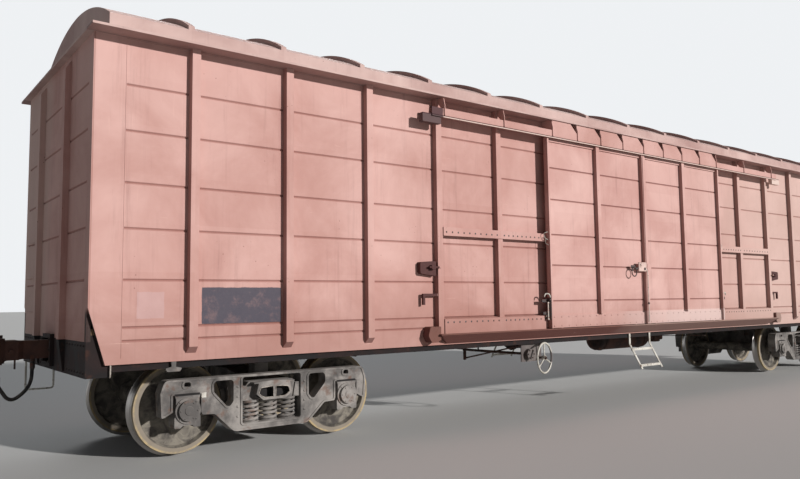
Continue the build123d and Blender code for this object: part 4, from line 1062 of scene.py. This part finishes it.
def handbrake_rod():
    """Shaft from the handbrake's gearbox to the middle, with a crank, a rod to the brake lever, a
    hanger, the gearbox's screws and the handwheel's nut."""
    x, z = -2.43, 0.767
    parts = [block((x, -0.06, z - 0.06), (0.022, 0.015, 0.09), 0.005),
             tube([(x, -0.06, z - 0.125), (-1.05, -0.09, 0.795)], 0.012, 8),
             tube([(x, -1.33, z), (x, -0.03, z)], 0.018),
             tube([(x, -0.35, z - 0.002), (x, -0.35, 0.93)], 0.011, 8),
             heads(NUT, 6, oval((x, -1.375, z), 0.055, 0.055, 1, 6), (0, -1, 0), 0.6),
             heads(NUT, 6, (-2.208, -1.4255, 0.707), (0.24, -0.97, 0), 1.4)]
    mesh_piece("handbrake_rod", *joined(parts), underframe)


brake_rods()
valve_and_pipes()
handbrake_rod()


# Camera, light and stage

def camera_at(place, forward, right, up, lens):
    """Camera from its place and its three axes, on a 36 mm wide sensor."""
    data = bpy.data.cameras.new("photo_camera")
    data.lens = lens
    data.sensor_width = 36
    data.clip_end = 500
    camera = in_scene("photo_camera", data)
    axes = np.eye(4)
    axes[:3, 0], axes[:3, 1], axes[:3, 2], axes[:3, 3] = right, up, -np.asarray(forward), place
    camera.matrix_world = Matrix(axes.tolist())
    bpy.context.scene.camera = camera


camera_at((-9.751, -8.087, 1.508 + RAIL), (0.60546584, 0.79149546, 0.08334299),
          (0.79480448, -0.60675001, -0.0118437), (-0.04119413, -0.07341234, 0.99645054), 32.59)


def sun(name, direction, strength, angle, colour=(1, 1, 1)):
    """Distant lamp that shines along a direction, with soft shadow edges of the given angle."""
    data = bpy.data.lights.new(name, "SUN")
    data.energy = strength
    data.angle = math.radians(angle)
    data.color = colour
    lamp = in_scene(name, data)
    lamp.matrix_world = Matrix(facing([-np.asarray(direction, float)], [(0, 0, 8)])[0].tolist())


sun("key_light", (-0.40, 0.87, -0.30), 3.9, 2.0, (1.0, 0.97, 0.95))
sun("back_light", (-0.38, -0.80, -0.46), 0.9, 25, (0.96, 0.98, 1.0))


def pale_room():
    """World that lights softly, and is seen as a plain pale backdrop by the camera and in gloss."""
    world = bpy.data.worlds.new("pale_room")
    world.use_nodes = True
    g = Graph(world.node_tree)
    light = g.tree.nodes["Background"]
    g.feed(light, {"Color": (0.84, 0.90, 1.0, 1), "Strength": 0.11})
    seen = g.add("ShaderNodeBackground", {"Color": (0.86, 0.88, 0.9, 1), "Strength": 1.0})
    ray = g.add("ShaderNodeLightPath", {}).outputs
    either = g.math("MAXIMUM", ray["Is Camera Ray"], ray["Is Glossy Ray"])
    mix = g.add("ShaderNodeMixShader", {0: either, 1: light.outputs[0], 2: seen.outputs[0]})
    g.feed(g.tree.nodes["World Output"], {"Surface": mix.outputs[0]})
    bpy.context.scene.world = world


def studio_floor():
    """Pale floor at the foot of the wheels."""
    half = 160.0
    corners = [(-half, -half, 0), (half, -half, 0), (half, half, 0), (-half, half, 0)]
    f = Finish("studio_floor")
    f.colour = rgb(196, 196, 194)
    mesh = bpy.data.meshes.new("studio_floor")
    mesh.from_pydata(corners, [], [(0, 1, 2, 3)])
    mesh.materials.append(f.done(0.9, gloss=0.2))
    in_scene("studio_floor", mesh)


pale_room()
studio_floor()
bpy.context.scene.view_settings.view_transform = "Standard"
